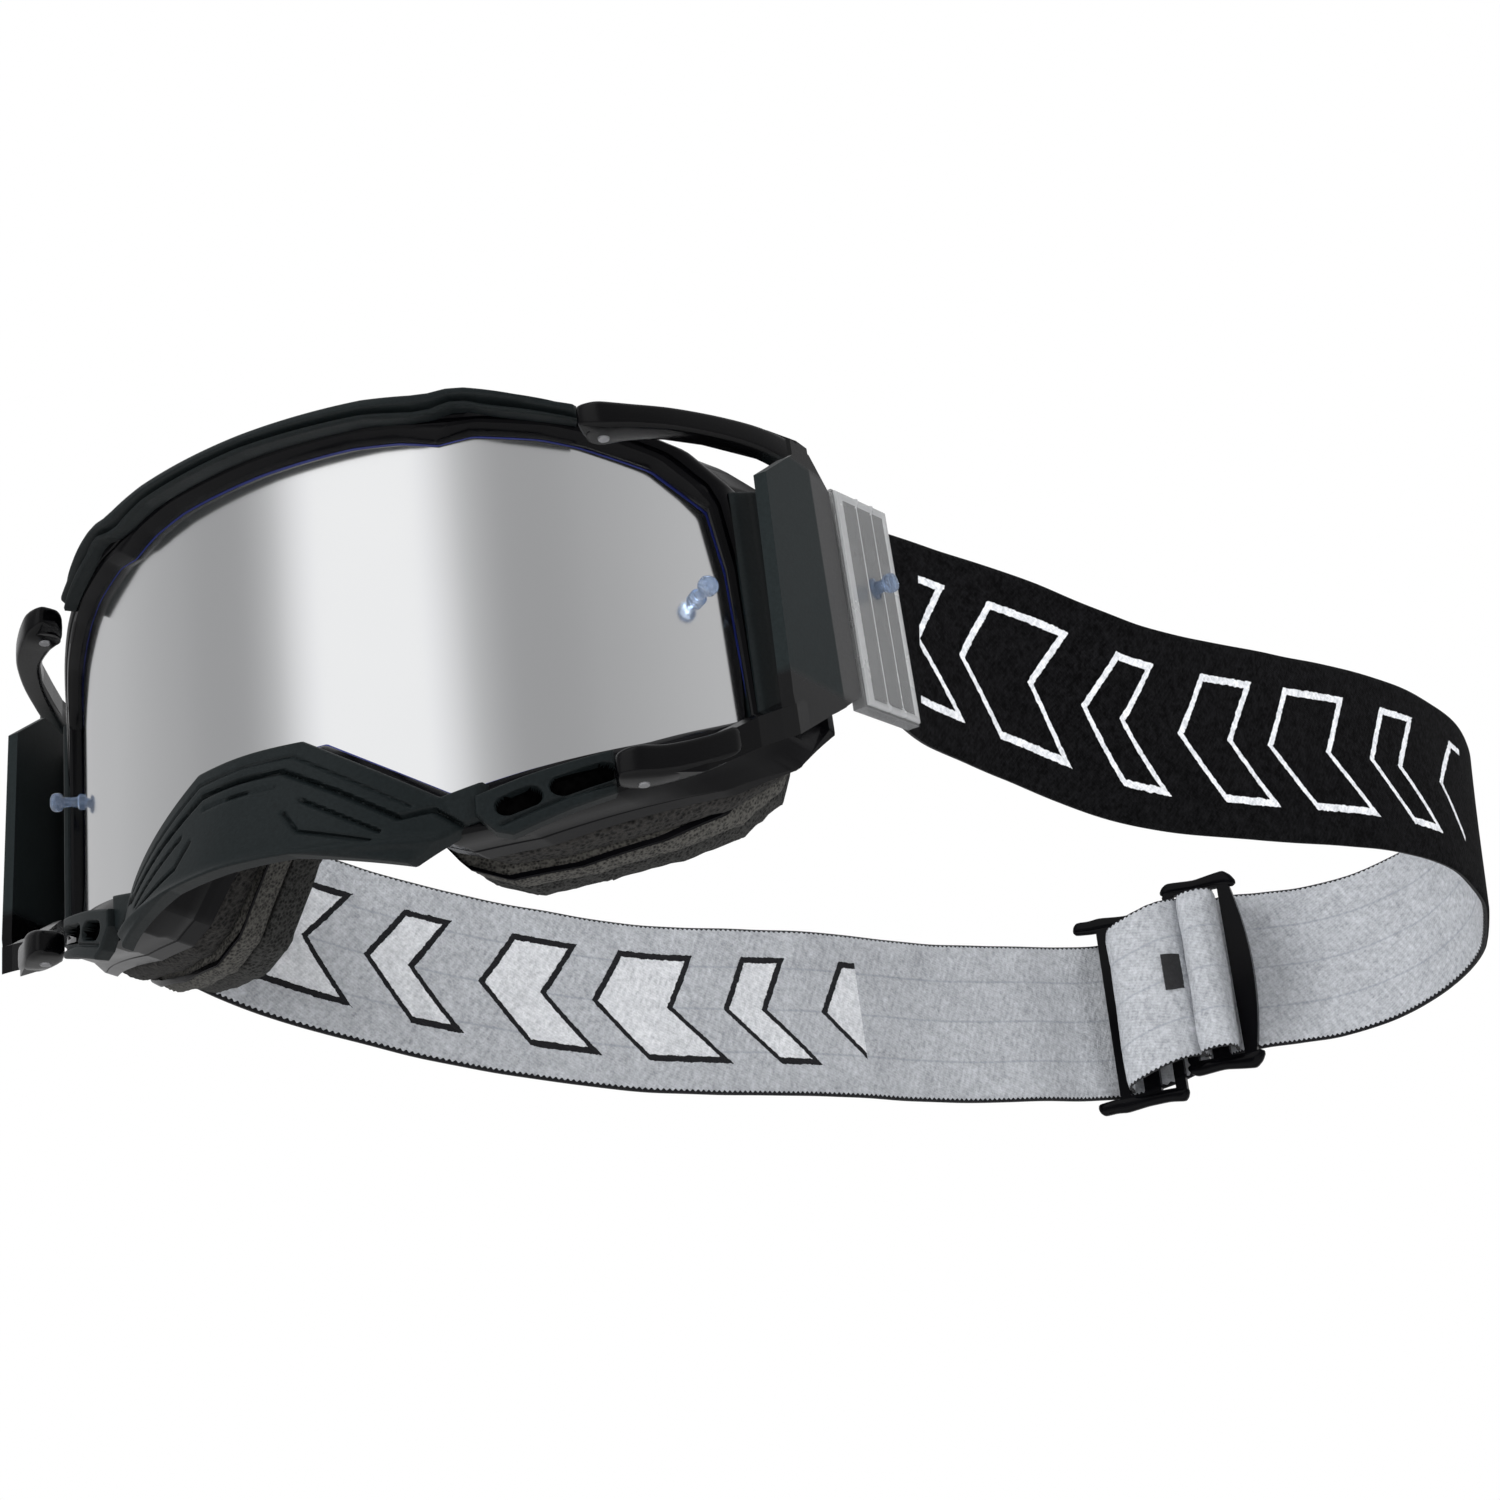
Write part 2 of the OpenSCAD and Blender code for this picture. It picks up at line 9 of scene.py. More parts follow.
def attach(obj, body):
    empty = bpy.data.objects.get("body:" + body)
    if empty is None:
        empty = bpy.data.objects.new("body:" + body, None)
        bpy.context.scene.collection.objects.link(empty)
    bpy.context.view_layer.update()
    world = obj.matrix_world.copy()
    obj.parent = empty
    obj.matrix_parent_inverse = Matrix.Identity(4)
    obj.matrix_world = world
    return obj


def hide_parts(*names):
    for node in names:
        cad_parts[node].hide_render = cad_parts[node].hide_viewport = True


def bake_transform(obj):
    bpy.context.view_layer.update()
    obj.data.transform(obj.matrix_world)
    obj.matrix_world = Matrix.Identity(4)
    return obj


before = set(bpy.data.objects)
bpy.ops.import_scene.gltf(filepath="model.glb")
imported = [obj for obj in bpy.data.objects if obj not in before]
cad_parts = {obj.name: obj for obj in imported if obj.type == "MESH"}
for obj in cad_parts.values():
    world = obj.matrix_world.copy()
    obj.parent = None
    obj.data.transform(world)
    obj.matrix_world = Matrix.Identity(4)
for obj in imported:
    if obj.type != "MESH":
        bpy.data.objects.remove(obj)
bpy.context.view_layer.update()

# Everything below is in millimetres until a mesh is made
MM = 0.001
LENS_R = 95.0  # radius of the lens's outer face, about an upright axis at y = LENS_AXIS
LENS_AXIS = 35.0
LENS_THICK = 1.6
FRAME_BACK = 3.6  # how far the frame's moulding reaches behind the lens's outer face
TRIM_BASE = 3.95  # surface of the frame that the trims stand on, above the lens's outer face
FACE_AXIS = 52.0  # axis of the flange and the foam layers
FLANGE_R = 100.0
FLANGE_THICK = 2.2
HINGE = (66.5, -45.0)  # x and y of an outrigger's hinge, on the left
GUARD_RADIUS, GUARD_LEAN = 46.4, 17  # the nose guard's arch, about an axis that leans forward
GUARD_TOP, GUARD_AXIS = -23.5, -20.6  # z of its top edge, and y of its axis there
POST_ANGLE = 50  # of a lens post from straight ahead, in degrees
POST_HEAD = 1.98
CLIP_START, CLIP_SLANT = (94.7, -3.4), 7.1
CLIP_FROM, CLIP_TO = 0.4, 22.2  # the clip's length along the strap
CLIP_POST = (12.3, 8.5)  # along the strap and up
STRAP_W = 45.0
STRAP_HALF_THICK = 0.9
FOLD_HALF_THICK = 0.8
SLIDER_RIGHT = (83.5, 220.4, -31.8)
SLIDER_LEFT = (103.8, 220.4, -26.6)
SLIDER_TILT = math.radians(2.5)
MOTIF_RUN = (24.0, 205.0)  # distances from the clip between which the strap's pattern shows

# Front view half outlines, [x, z] from the top centre to the bottom centre
LENS_OPEN = [[0, 37.3], [20, 37], [29, 36], [36, 34.2], [42, 35.2], [53, 33.5], [59, 31.6], [69, 27],
             [76, 19], [77.4, 6], [78.2, -24.8], [64, -30.3], [46, -34.5], [34, -37.5],
             [11.5, -23], [0, -23]]
RIM = [[0, 41], [25, 40.7], [36, 39.3], [42, 39.5], [51, 38], [61, 36.7], [67, 35], [75.5, 30.5],
       [80.5, 24], [82, 6], [82, -26], [77, -33], [66, -38.5], [60, -41], [44, -45.5], [33, -46.5],
       [27, -43.5], [16, -32], [11, -27.5], [0, -27.5]]
WALL = [[0, 40.5], [25, 40], [42, 39], [52, 38.5], [65, 36.5], [77, 32], [83, 27.5], [85.5, 18],
        [85.5, -22], [81, -31], [72, -37], [60, -40.5], [44, -45], [33, -46], [27, -43.5], [16, -32],
        [11, -27.5], [0, -27.5]]
FACE_OPEN = [[0, 29], [30, 28], [50, 25], [63, 19], [70, 10], [72, 0], [71, -18], [65, -26],
             [50, -33], [38, -34], [31, -30], [20, -17], [0, -14]]
FOAM_OPEN = [[0, 27], [30, 26], [48, 22], [57, 16], [61, 9], [62, 0], [61, -17], [56, -24],
             [46, -30], [38, -31.5], [31, -29], [20, -17], [0, -14]]
BASE_OUT = [[0, 39.5], [25, 39], [42, 38], [52, 36], [64, 31], [73, 24], [77, 16], [78.5, 4],
            [78.5, -20], [76, -30], [69, -37], [58, -41.5], [44, -45], [34, -45.5], [27, -42],
            [17, -30], [12, -25], [0, -25]]
MIDDLE_OUT = [[0, 41], [25, 40.5], [42, 39], [52, 37], [63, 32], [71, 25], [74.5, 16], [75.5, 4],
              [75.5, -20], [73, -30], [67, -38], [58, -43], [45, -47], [33, -48], [25.5, -44.5],
              [15, -30], [10, -25], [0, -25]]
FACE_OUT = [[0, 40], [25, 39.5], [42, 38], [52, 35.5], [61, 31], [67, 24], [70, 16], [71, 4],
            [71, -19], [69, -29], [63, -37], [55, -42], [43, -45.5], [32, -47], [24.5, -44],
            [14, -29], [9, -24], [0, -24]]
# Centre line of the strap, [x, y, z, lean in degrees], from the left clip round to the right one
ROUTE = [[91.5, 7, 5, 0], [93, 19, 6, 0], [98, 34, 5, 7], [109, 57, 2, 15], [126, 86, -4, 18],
         [145, 117, -4, 13], [165, 150, -3, 6], [178, 177, -4.5, 4], [182.5, 200, -10, 7],
         [177, 220, -16.5, 10], [163.5, 234, -21.5, 10], [147, 241, -24, 8], [132, 240, -25.2, 6],
         [121, 234, -25.8, 5], [112.5, 228, -26.2, 4], [103, 226, -27, 4], [94, 226, -29, 4],
         [84, 226, -31.3, 4], [74.5, 225.6, -32, 3], [65, 217.6, -32.2, 3], [55, 203, -32.5, 4],
         [38, 183, -32.5, 3], [14, 149, -31, 2], [-16, 112, -30, 5], [-45, 82, -23, 5],
         [-68, 59, -14, 6], [-86, 42, -4, 5], [-93, 30, 3, 2], [-93, 19, 6, 0], [-91.5, 7, 5, 0]]
SPLIT = 16  # point of the route where the strap's two halves meet
CENTRE = np.array([0.0, 5.0])  # of the front view outlines


# ---- Camera, light and stage ----
def add_camera():
    azimuth, elevation, roll = (math.radians(a) for a in (22.34, -22.48, -7.82))
    camera = bpy.data.cameras.new("camera")
    camera.sensor_width = 36
    camera.lens = 52.8
    camera.clip_start = 0.01
    holder = bpy.data.objects.new("camera", camera)
    holder.matrix_world = (Matrix.Translation((0.21936, -0.36669, -0.18525))
                           @ Matrix.Rotation(azimuth, 4, "Z")
                           @ Matrix.Rotation(math.pi / 2 - elevation, 4, "X")
                           @ Matrix.Rotation(roll, 4, "Z"))
    bpy.context.scene.collection.objects.link(holder)
    bpy.context.scene.camera = holder


def add_softbox(name, place, size, power):
    """An area light aimed at the goggles, which the lens doesn't mirror."""
    light = bpy.data.lights.new(name, "AREA")
    light.shape = "RECTANGLE"
    light.size, light.size_y = size
    light.energy = power
    holder = bpy.data.objects.new(name, light)
    holder.location = place
    away = Vector(place) - Vector((0.03, 0.0, 0.0))
    holder.rotation_euler = away.to_track_quat("Z", "Y").to_euler()
    holder.visible_glossy = False
    bpy.context.scene.collection.objects.link(holder)


def add_world():
    """A white studio: a bright upright band in front of the lens, softer and darker to the sides."""
    world = bpy.data.worlds.new("studio")
    bpy.context.scene.world = world
    world.use_nodes = True
    tree = world.node_tree
    tree.nodes.clear()

    def node(kind, operation=None, settings=()):
        made = tree.nodes.new("ShaderNode" + kind)
        if operation:
            made.operation = operation
        for name, value in settings:
            made.inputs[name].default_value = value
        return made

    place, path, mix = node("TexCoord"), node("LightPath"), node("MixShader")
    flat = node("VectorMath", "MULTIPLY", [(1, (1, 1, 0))])
    unit = node("VectorMath", "NORMALIZE")
    facing = node("VectorMath", "DOT_PRODUCT", [(1, Vector((-0.13, -0.99, 0)).normalized())])
    ramp = node("ValToRGB")
    stops = [(0.0, 0.55), (0.55, 0.40), (0.80, 0.35), (0.90, 0.50), (0.965, 1.0), (1.0, 1.15)]
    ramp.color_ramp.interpolation = "B_SPLINE"
    while len(ramp.color_ramp.elements) < len(stops):
        ramp.color_ramp.elements.new(0.5)
    for element, (where, grey) in zip(ramp.color_ramp.elements, stops):
        element.position = where
        element.color = (grey, grey, grey * 1.01, 1)
    strength = node("MapRange", settings=[("To Min", 0.55), ("To Max", 1.0)])
    band, white = node("Background"), node("Background", settings=[("Color", (1, 1, 1, 1))])
    for source, target in (
            (place.outputs["Generated"], flat.inputs[0]), (flat.outputs[0], unit.inputs[0]),
            (unit.outputs[0], facing.inputs[0]), (facing.outputs["Value"], ramp.inputs[0]),
            (ramp.outputs[0], band.inputs["Color"]), (strength.outputs[0], band.inputs["Strength"]),
            (path.outputs["Is Glossy Ray"], strength.inputs["Value"]),
            (path.outputs["Is Camera Ray"], mix.inputs[0]), (band.outputs[0], mix.inputs[1]),
            (white.outputs[0], mix.inputs[2]), (mix.outputs[0], node("OutputWorld").inputs["Surface"])):
        tree.links.new(source, target)
    bpy.context.scene.view_settings.view_transform = "Standard"


def add_floor():
    size, level = 4.0, -0.26
    mesh = bpy.data.meshes.new("floor")
    mesh.from_pydata([(-size, -size, level), (size, -size, level), (size, size, level),
                      (-size, size, level)], [], [(0, 1, 2, 3)])
    floor = bpy.data.objects.new("floor", mesh)
    bpy.context.scene.collection.objects.link(floor)
    floor.data.materials.append(material("floor_white", plain, (0.86, 0.86, 0.86), 0.9))


# ---- Materials ----
class Nodes:
    """Short calls for building one material's node tree."""

    def __init__(self, name):
        self.material = bpy.data.materials.new(name)
        self.material.use_nodes = True
        self.tree = self.material.node_tree
        self.shader = self.tree.nodes["Principled BSDF"]

    def put(self, value, socket):
        if isinstance(value, bpy.types.NodeSocket):
            self.tree.links.new(value, socket)
        elif isinstance(value, tuple) and len(value) == 3 and socket.type == "RGBA":
            socket.default_value = (*value, 1)
        else:
            socket.default_value = value

    def set(self, **inputs):
        for name, value in inputs.items():
            self.put(value, self.shader.inputs[name.replace("_", " ")])

    def math(self, operation, *values):
        node = self.tree.nodes.new("ShaderNodeMath")
        node.operation = operation
        for i, value in enumerate(values):
            self.put(value, node.inputs[i])
        return node.outputs[0]

    def place(self):
        return self.tree.nodes.new("ShaderNodeTexCoord").outputs["Object"]

    def split(self, vector):
        node = self.tree.nodes.new("ShaderNodeSeparateXYZ")
        self.put(vector, node.inputs[0])
        return node.outputs

    def noise(self, scale, detail=3.0, rough=0.6):
        node = self.tree.nodes.new("ShaderNodeTexNoise")
        self.put(self.place(), node.inputs["Vector"])
        node.inputs["Scale"].default_value = scale
        node.inputs["Detail"].default_value = detail
        node.inputs["Roughness"].default_value = rough
        return node.outputs["Fac"]

    def cells(self, scale):
        node = self.tree.nodes.new("ShaderNodeTexVoronoi")
        self.put(self.place(), node.inputs["Vector"])
        node.inputs["Scale"].default_value = scale
        return node.outputs["Distance"]

    def blend(self, share, first, second):
        node = self.tree.nodes.new("ShaderNodeMix")
        node.data_type = "RGBA"
        self.put(share, node.inputs[0])
        self.put(first, node.inputs[6])
        self.put(second, node.inputs[7])
        return node.outputs[2]

    def spread(self, value, low, high, to_low=0.0, to_high=1.0):
        node = self.tree.nodes.new("ShaderNodeMapRange")
        for i, number in enumerate((value, low, high, to_low, to_high)):
            self.put(number, node.inputs[i])
        return node.outputs[0]

    def bump(self, height, distance, strength=1.0):
        node = self.tree.nodes.new("ShaderNodeBump")
        self.put(height, node.inputs["Height"])
        node.inputs["Distance"].default_value = distance
        node.inputs["Strength"].default_value = strength
        self.put(node.outputs[0], self.shader.inputs["Normal"])


def plain(n, color, rough):
    n.set(Base_Color=color, Roughness=rough)


def matte_plastic(n):
    grain = n.noise(1600, 4, 0.7)
    patch = n.noise(60, 2, 0.5)
    n.set(Base_Color=n.blend(grain, (0.0015, 0.0025, 0.0028), (0.010, 0.0135, 0.0145)),
          Roughness=n.spread(patch, 0.3, 0.7, 0.42, 0.52), Specular_IOR_Level=0.16)
    n.bump(grain, 0.00008, 0.5)


def gloss_plastic(n):
    smear = n.noise(45, 3, 0.6)
    fine = n.noise(900, 2, 0.6)
    n.set(Base_Color=n.blend(smear, (0.0008, 0.0008, 0.001), (0.002, 0.002, 0.003)),
          Roughness=n.spread(smear, 0.3, 0.7, 0.14, 0.24), Specular_IOR_Level=0.11)
    n.bump(fine, 0.00002, 0.35)


def outrigger_plastic(n):
    """Matte side plate with gloss on the arms; its rear bevel is painted lighter, a painted highlight
    where the bevel catches the light.
    """
    _, y, z = n.split(n.place())
    grain = n.noise(1500, 4, 0.7)
    rear = n.spread(y, -0.0112, -0.0108)
    arms = n.math("MAXIMUM", n.spread(z, 0.0268, 0.0282), n.spread(z, -0.0205, -0.0225))
    matte = n.blend(grain, (0.003, 0.005, 0.0055), (0.013, 0.018, 0.019))
    # Painted highlight: the rear bevel (y above -0.0108) is given a lighter grey.
    bevel = n.blend(grain, (0.036, 0.036, 0.037), (0.062, 0.062, 0.063))
    body = n.blend(rear, matte, bevel)
    n.set(Base_Color=n.blend(arms, body, (0.0012, 0.0012, 0.0015)),
          Roughness=n.spread(arms, 0, 1, 0.48, 0.18), Specular_IOR_Level=0.17)
    n.bump(grain, 0.00006, 0.4)


def mirror(n):
    haze = n.noise(18, 2, 0.5)
    n.set(Base_Color=n.blend(haze, (0.80, 0.81, 0.82), (0.86, 0.865, 0.87)), Metallic=1.0,
          Roughness=n.spread(haze, 0.3, 0.7, 0.10, 0.14))


def blue_edge(n):
    tint = n.noise(120, 2, 0.5)
    n.set(Base_Color=n.blend(tint, (0.012, 0.016, 0.10), (0.02, 0.03, 0.17)), Roughness=0.25)


def clear_plastic(n, color, rough, clear, wear):
    """Moulded translucent plastic; clear is its share of transmission, wear the scale of its haze."""
    cloud = n.noise(wear, 4, 0.65)
    n.set(Base_Color=n.blend(cloud, tuple(c * 0.8 for c in color), color),
          Roughness=n.spread(cloud, 0.3, 0.7, rough * 0.7, rough * 1.3), IOR=1.49,
          Transmission_Weight=clear, Alpha=n.spread(cloud, 0.2, 0.8, 0.78, 0.9))
    n.bump(cloud, 0.00004, 0.15)


def steel(n):
    turned = n.noise(800, 2, 0.5)
    n.set(Base_Color=(0.25, 0.25, 0.26), Metallic=1.0, Roughness=n.spread(turned, 0.3, 0.7, 0.3, 0.45))


def foam(n, dark, light, pores, depth):
    cell = n.cells(pores)
    fuzz = n.noise(pores * 1.7, 4, 0.7)
    mixed = n.math("MULTIPLY", n.spread(cell, 0.0, 0.75), fuzz)
    shade = n.spread(mixed, 0.12, 0.5)
    n.set(Base_Color=n.blend(shade, dark, light), Roughness=0.95, Specular_IOR_Level=0.15,
          Sheen_Weight=0.05, Sheen_Roughness=0.6)
    n.bump(mixed, depth, 0.9)


def hollow(n):
    """Near-black mesh foam deep in the vents, with no gloss: partly the foam's own dark colour, partly
    painted shade of the deep vent holes.
    """
    cell = n.cells(900)
    n.set(Base_Color=n.blend(cell, (0.0004, 0.0004, 0.0004), (0.002, 0.002, 0.002)), Roughness=1.0,
          Specular_IOR_Level=0.0)


def strap_coordinates(n):
    """Distance along the strap and across it from its middle, in millimetres."""
    node = n.tree.nodes.new("ShaderNodeUVMap")
    node.uv_map = "strap"
    u, v, _ = n.split(node.outputs[0])
    return n.math("MULTIPLY", u, 1000.0), n.math("MULTIPLY", v, 1000.0)


def motif(n, u, v):
    """A row of slanted chevrons along the strap: (outline, fill)."""
    pitch, half_height, half_line = 31.0, 14.5, 0.85
    first, last = MOTIF_RUN
    height = n.math("ABSOLUTE", v)
    bent = n.math("ADD", u, n.math("MULTIPLY", height, -0.75))
    slanted = n.math("ADD", bent, n.math("MULTIPLY", v, 0.25))
    count = n.math("FLOOR", n.math("DIVIDE", slanted, pitch))
    turn = n.math("SUBTRACT", n.math("MODULO", slanted, pitch), pitch / 2)
    half = n.math("ADD", 8.6, n.math("MULTIPLY", n.math("SINE", n.math("MULTIPLY", count, 2.1)), 2.6))
    side = n.math("SUBTRACT", n.math("ABSOLUTE", turn), half)
    ends = n.math("SUBTRACT", height, half_height)
    frayed = n.spread(n.noise(700, 3, 0.7), 0.3, 0.7, -0.22, 0.22)
    edge = n.math("ADD", n.math("MAXIMUM", side, ends), frayed)
    inside_run = n.math("MULTIPLY", n.math("GREATER_THAN", u, first), n.math("LESS_THAN", u, last))
    line = n.math("LESS_THAN", n.math("ABSOLUTE", n.math("ADD", edge, half_line)), half_line)
    fill = n.math("LESS_THAN", edge, -2 * half_line)
    return n.math("MULTIPLY", line, inside_run), n.math("MULTIPLY", fill, inside_run)


def weave(n, u, v, fine):
    """Rows of small stitches with some unevenness, 0 to 1."""
    uneven = n.noise(900, 4, 0.75)
    rows = n.math("SINE", n.math("MULTIPLY", v, 2 * math.pi / fine))
    shifted = n.math("ADD", n.math("MULTIPLY", u, 2 * math.pi / (fine * 1.3)),
                     n.math("MULTIPLY", v, 3.1))
    stitches = n.math("MULTIPLY", rows, n.math("SINE", shifted))
    clumps = n.noise(420, 3, 0.7)
    fuzz = n.math("ADD", n.math("MULTIPLY", uneven, 0.6), n.math("MULTIPLY", clumps, 0.4))
    return n.math("ADD", n.math("MULTIPLY", stitches, 0.09), n.spread(fuzz, 0.3, 0.7, 0.1, 1.0))


def strap_outside(n):
    u, v = strap_coordinates(n)
    cloth = weave(n, u, v, 0.9)
    black = n.blend(n.spread(cloth, 0.35, 0.85), (0.0008, 0.0008, 0.001), (0.008, 0.008, 0.009))
    white = n.blend(n.spread(cloth, 0.25, 0.8), (0.52, 0.54, 0.57), (0.90, 0.91, 0.94))
    line, _ = motif(n, u, v)
    n.set(Base_Color=n.blend(line, black, white), Roughness=0.95, Specular_IOR_Level=0.06,
          Sheen_Weight=0.02)
    n.bump(n.math("ADD", cloth, n.math("MULTIPLY", line, 0.8)), 0.0003, 0.8)


def strap_inside(n):
    u, v = strap_coordinates(n)
    cloth = weave(n, u, v, 1.3)
    broad = n.noise(90, 3, 0.6)
    tone = n.spread(n.math("ADD", cloth, n.math("MULTIPLY", broad, 0.35)), 0.2, 1.25)
    grey = n.blend(tone, (0.22, 0.23, 0.25), (0.62, 0.64, 0.675))
    ridge = n.math("ABSOLUTE", n.math("SINE", n.math("MULTIPLY", v, math.pi / 11.5)))
    # Painted shade: the lining is darkened along its narrow grooves, where the bump sinks.
    groove = n.spread(ridge, 0.0, 0.14, 0.5, 0.0)
    grey = n.blend(groove, grey, (0.22, 0.24, 0.28))
    line, fill = motif(n, u, v)
    pale = n.blend(tone, (0.36, 0.375, 0.40), (0.88, 0.89, 0.92))
    black = (0.010, 0.010, 0.012)
    teeth = n.math("MULTIPLY", n.math("SINE", n.math("MULTIPLY", u, 2 * math.pi / 1.4)), 0.25)
    edge = n.math("GREATER_THAN", n.math("ADD", n.math("ABSOLUTE", v), teeth), 21.8)
    color = n.blend(line, n.blend(fill, grey, pale), black)
    n.set(Base_Color=n.blend(edge, color, black), Roughness=0.95, Specular_IOR_Level=0.1,
          Sheen_Weight=0.12, Sheen_Roughness=0.5)
    n.bump(n.math("ADD", cloth, n.math("MULTIPLY", ridge, 0.5)), 0.0004, 0.9)


def thread(n):
    stitches = n.noise(1300, 3, 0.7)
    n.set(Base_Color=n.blend(stitches, (0.004, 0.004, 0.005), (0.03, 0.03, 0.032)), Roughness=0.8)
    n.bump(stitches, 0.0002, 0.8)


def material(name, make, *settings):
    nodes = Nodes(name)
    make(nodes, *settings)
    return nodes.material


MATERIALS = {name: material(name, make, *settings) for name, make, *settings in (
    ("frame_black", gloss_plastic),
    ("trim_matte", matte_plastic),
    ("lens_mirror", mirror),
    ("lens_edge", blue_edge),
    # Near-black vent material: the foam's own dark colour plus painted shade of the deep vents.
    ("hollow", hollow),
    ("post_clear", clear_plastic, (0.34, 0.46, 0.68), 0.08, 0.8, 300),
    ("outrigger_black", outrigger_plastic),
    ("pin_steel", steel),
    ("clip_smoke", clear_plastic, (0.30, 0.305, 0.31), 0.22, 0.5, 60),
    # Lighter copy of the clip's smoked plastic: a painted highlight on the clip's raised border and
    # ribs.
    ("clip_edge", clear_plastic, (0.60, 0.61, 0.62), 0.25, 0.3, 60),
    ("strap_weave", strap_outside),
    ("strap_lining", strap_inside),
    ("slider_black", gloss_plastic),
    ("thread_black", thread),
    ("foam_coarse", foam, (0.001, 0.001, 0.001), (0.030, 0.028, 0.026), 1000, 0.0007),
    ("foam_grey", foam, (0.012, 0.0115, 0.011), (0.085, 0.082, 0.074), 1500, 0.0003),
    ("foam_soft", foam, (0.001, 0.001, 0.001), (0.036, 0.036, 0.034), 1300, 0.0005),
)}


# ---- Mesh helpers ----
def side_name(side):
    return "left" if side > 0 else "right"


def piece(name, points, faces, body, slot, materials=None, replaces=(), picks=None, sharp=35.0,
          uv=None):
    """A mesh in millimetres that rides on a body; picks gives each face's material."""
    mesh = bpy.data.meshes.new(name)
    mesh.from_pydata([tuple(float(c) * MM for c in p) for p in points], [], faces)
    for name_used in materials or [slot]:
        mesh.materials.append(MATERIALS[name_used])
    if picks is not None:
        mesh.polygons.foreach_set("material_index", picks)
    if uv is not None:
        layer = mesh.uv_layers.new(name="strap")
        for loop in mesh.loops:
            layer.data[loop.index].uv = uv[loop.vertex_index]
    mesh.update()
    shape = bmesh.new()
    shape.from_mesh(mesh)
    bmesh.ops.recalc_face_normals(shape, faces=shape.faces)
    shape.to_mesh(mesh)
    shape.free()
    mesh.shade_smooth()
    mesh.set_sharp_from_angle(angle=math.radians(sharp))
    obj = bpy.data.objects.new(name, mesh)
    bpy.context.scene.collection.objects.link(obj)
    if body:
        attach(obj, body)
    if replaces:
        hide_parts(*replaces)
    return obj


def grid(rows, around=False, along=False):
    """Points and quads of rows of points.

    around joins each row's ends, and along joins the last row to the first."""
    rows = np.asarray(rows, float)
    count, width = rows.shape[:2]
    faces = []
    for i in range(count if along else count - 1):
        for j in range(width if around else width - 1):
            a, b = i * width + j, i * width + (j + 1) % width
            c, d = ((i + 1) % count) * width + (j + 1) % width, ((i + 1) % count) * width + j
            faces.append((a, b, c, d))
    return rows.reshape(-1, 3), faces


def tube(rows):
    """Points and faces of a closed tube through rows of points, capped at both ends."""
    points, faces = grid(rows, around=True)
    width = len(rows[0])
    return points, faces + [tuple(range(width)), tuple(range(len(points) - width, len(points)))]


def curve(a, b, c, d, f):
    """A share f of the way from b to c on the smooth curve through a, b, c and d."""
    return 0.5 * (2 * b + (c - a) * f + (2 * a - 5 * b + 4 * c - d) * f * f
                  + (3 * b - a - 3 * c + d) * f ** 3)


def rounded_square(count, power):
    """Points round a square from -1 to 1 with rounded corners."""
    for a in np.linspace(0, 2 * math.pi, count, endpoint=False):
        yield (math.copysign(abs(math.cos(a)) ** power, math.cos(a)),
               math.copysign(abs(math.sin(a)) ** power, math.sin(a)))


def both_sides(half):
    """A closed outline from its half at x >= 0."""
    return half + [[-x, z] for x, z in reversed(half) if x]


def reach(outline, angles):
    """Points where rays from CENTRE at these angles meet a closed outline."""
    loop = np.array(both_sides(outline), float) - CENTRE
    found = []
    for angle in angles:
        ray = np.array([math.sin(angle), math.cos(angle)])
        best = 0.0
        for a, b in zip(loop, np.roll(loop, -1, axis=0)):
            side = b - a
            across = ray[0] * side[1] - ray[1] * side[0]
            if abs(across) < 1e-9:
                continue
            t = (a[0] * side[1] - a[1] * side[0]) / across
            s = (a[0] * ray[1] - a[1] * ray[0]) / across
            if t > 0 and -1e-6 <= s <= 1 + 1e-6:
                best = max(best, t)
        found.append(CENTRE + ray * best)
    return np.array(found)


def shared_angles(outlines, even=220):
    """Angles of every corner of the outlines, and even ones between."""
    angles = set(np.round(np.linspace(0, 2 * math.pi, even, endpoint=False), 4))
    for outline in outlines:
        for x, z in both_sides(outline):
            corner = math.atan2(x - CENTRE[0], z - CENTRE[1]) % (2 * math.pi)
            angles |= {round(corner + s, 4) for s in (-0.006, 0.006)}
    return sorted(a % (2 * math.pi) for a in angles)


def grown(points, distance):
    """Points of a star-shaped loop moved away from its centre."""
    away = points - CENTRE
    return points + away / np.linalg.norm(away, axis=1)[:, None] * distance


def on_lens(flat, height):
    """Front view points on the lens's cylinder, standing height off it."""
    radius = LENS_R + height
    y = LENS_AXIS - np.sqrt(np.maximum(radius ** 2 - flat[:, 0] ** 2, 1.0))
    return np.column_stack([flat[:, 0], y, flat[:, 1]])


def on_face(flat, radius):
    """Front view points on a cylinder about the face's axis."""
    y = FACE_AXIS - np.sqrt(np.maximum(radius ** 2 - flat[:, 0] ** 2, 1.0))
    return np.column_stack([flat[:, 0], y, flat[:, 1]])


def distance_to(points, line):
    """Distance of front view points to a polyline."""
    best = np.full(points.shape[:-1], 1e9)
    for a, b in zip(line[:-1], line[1:]):
        a, b = np.array(a, float), np.array(b, float)
        side = b - a
        t = np.clip(((points - a) @ side) / (side @ side), 0, 1)
        best = np.minimum(best, np.linalg.norm(points - (a + t[..., None] * side), axis=-1))
    return best


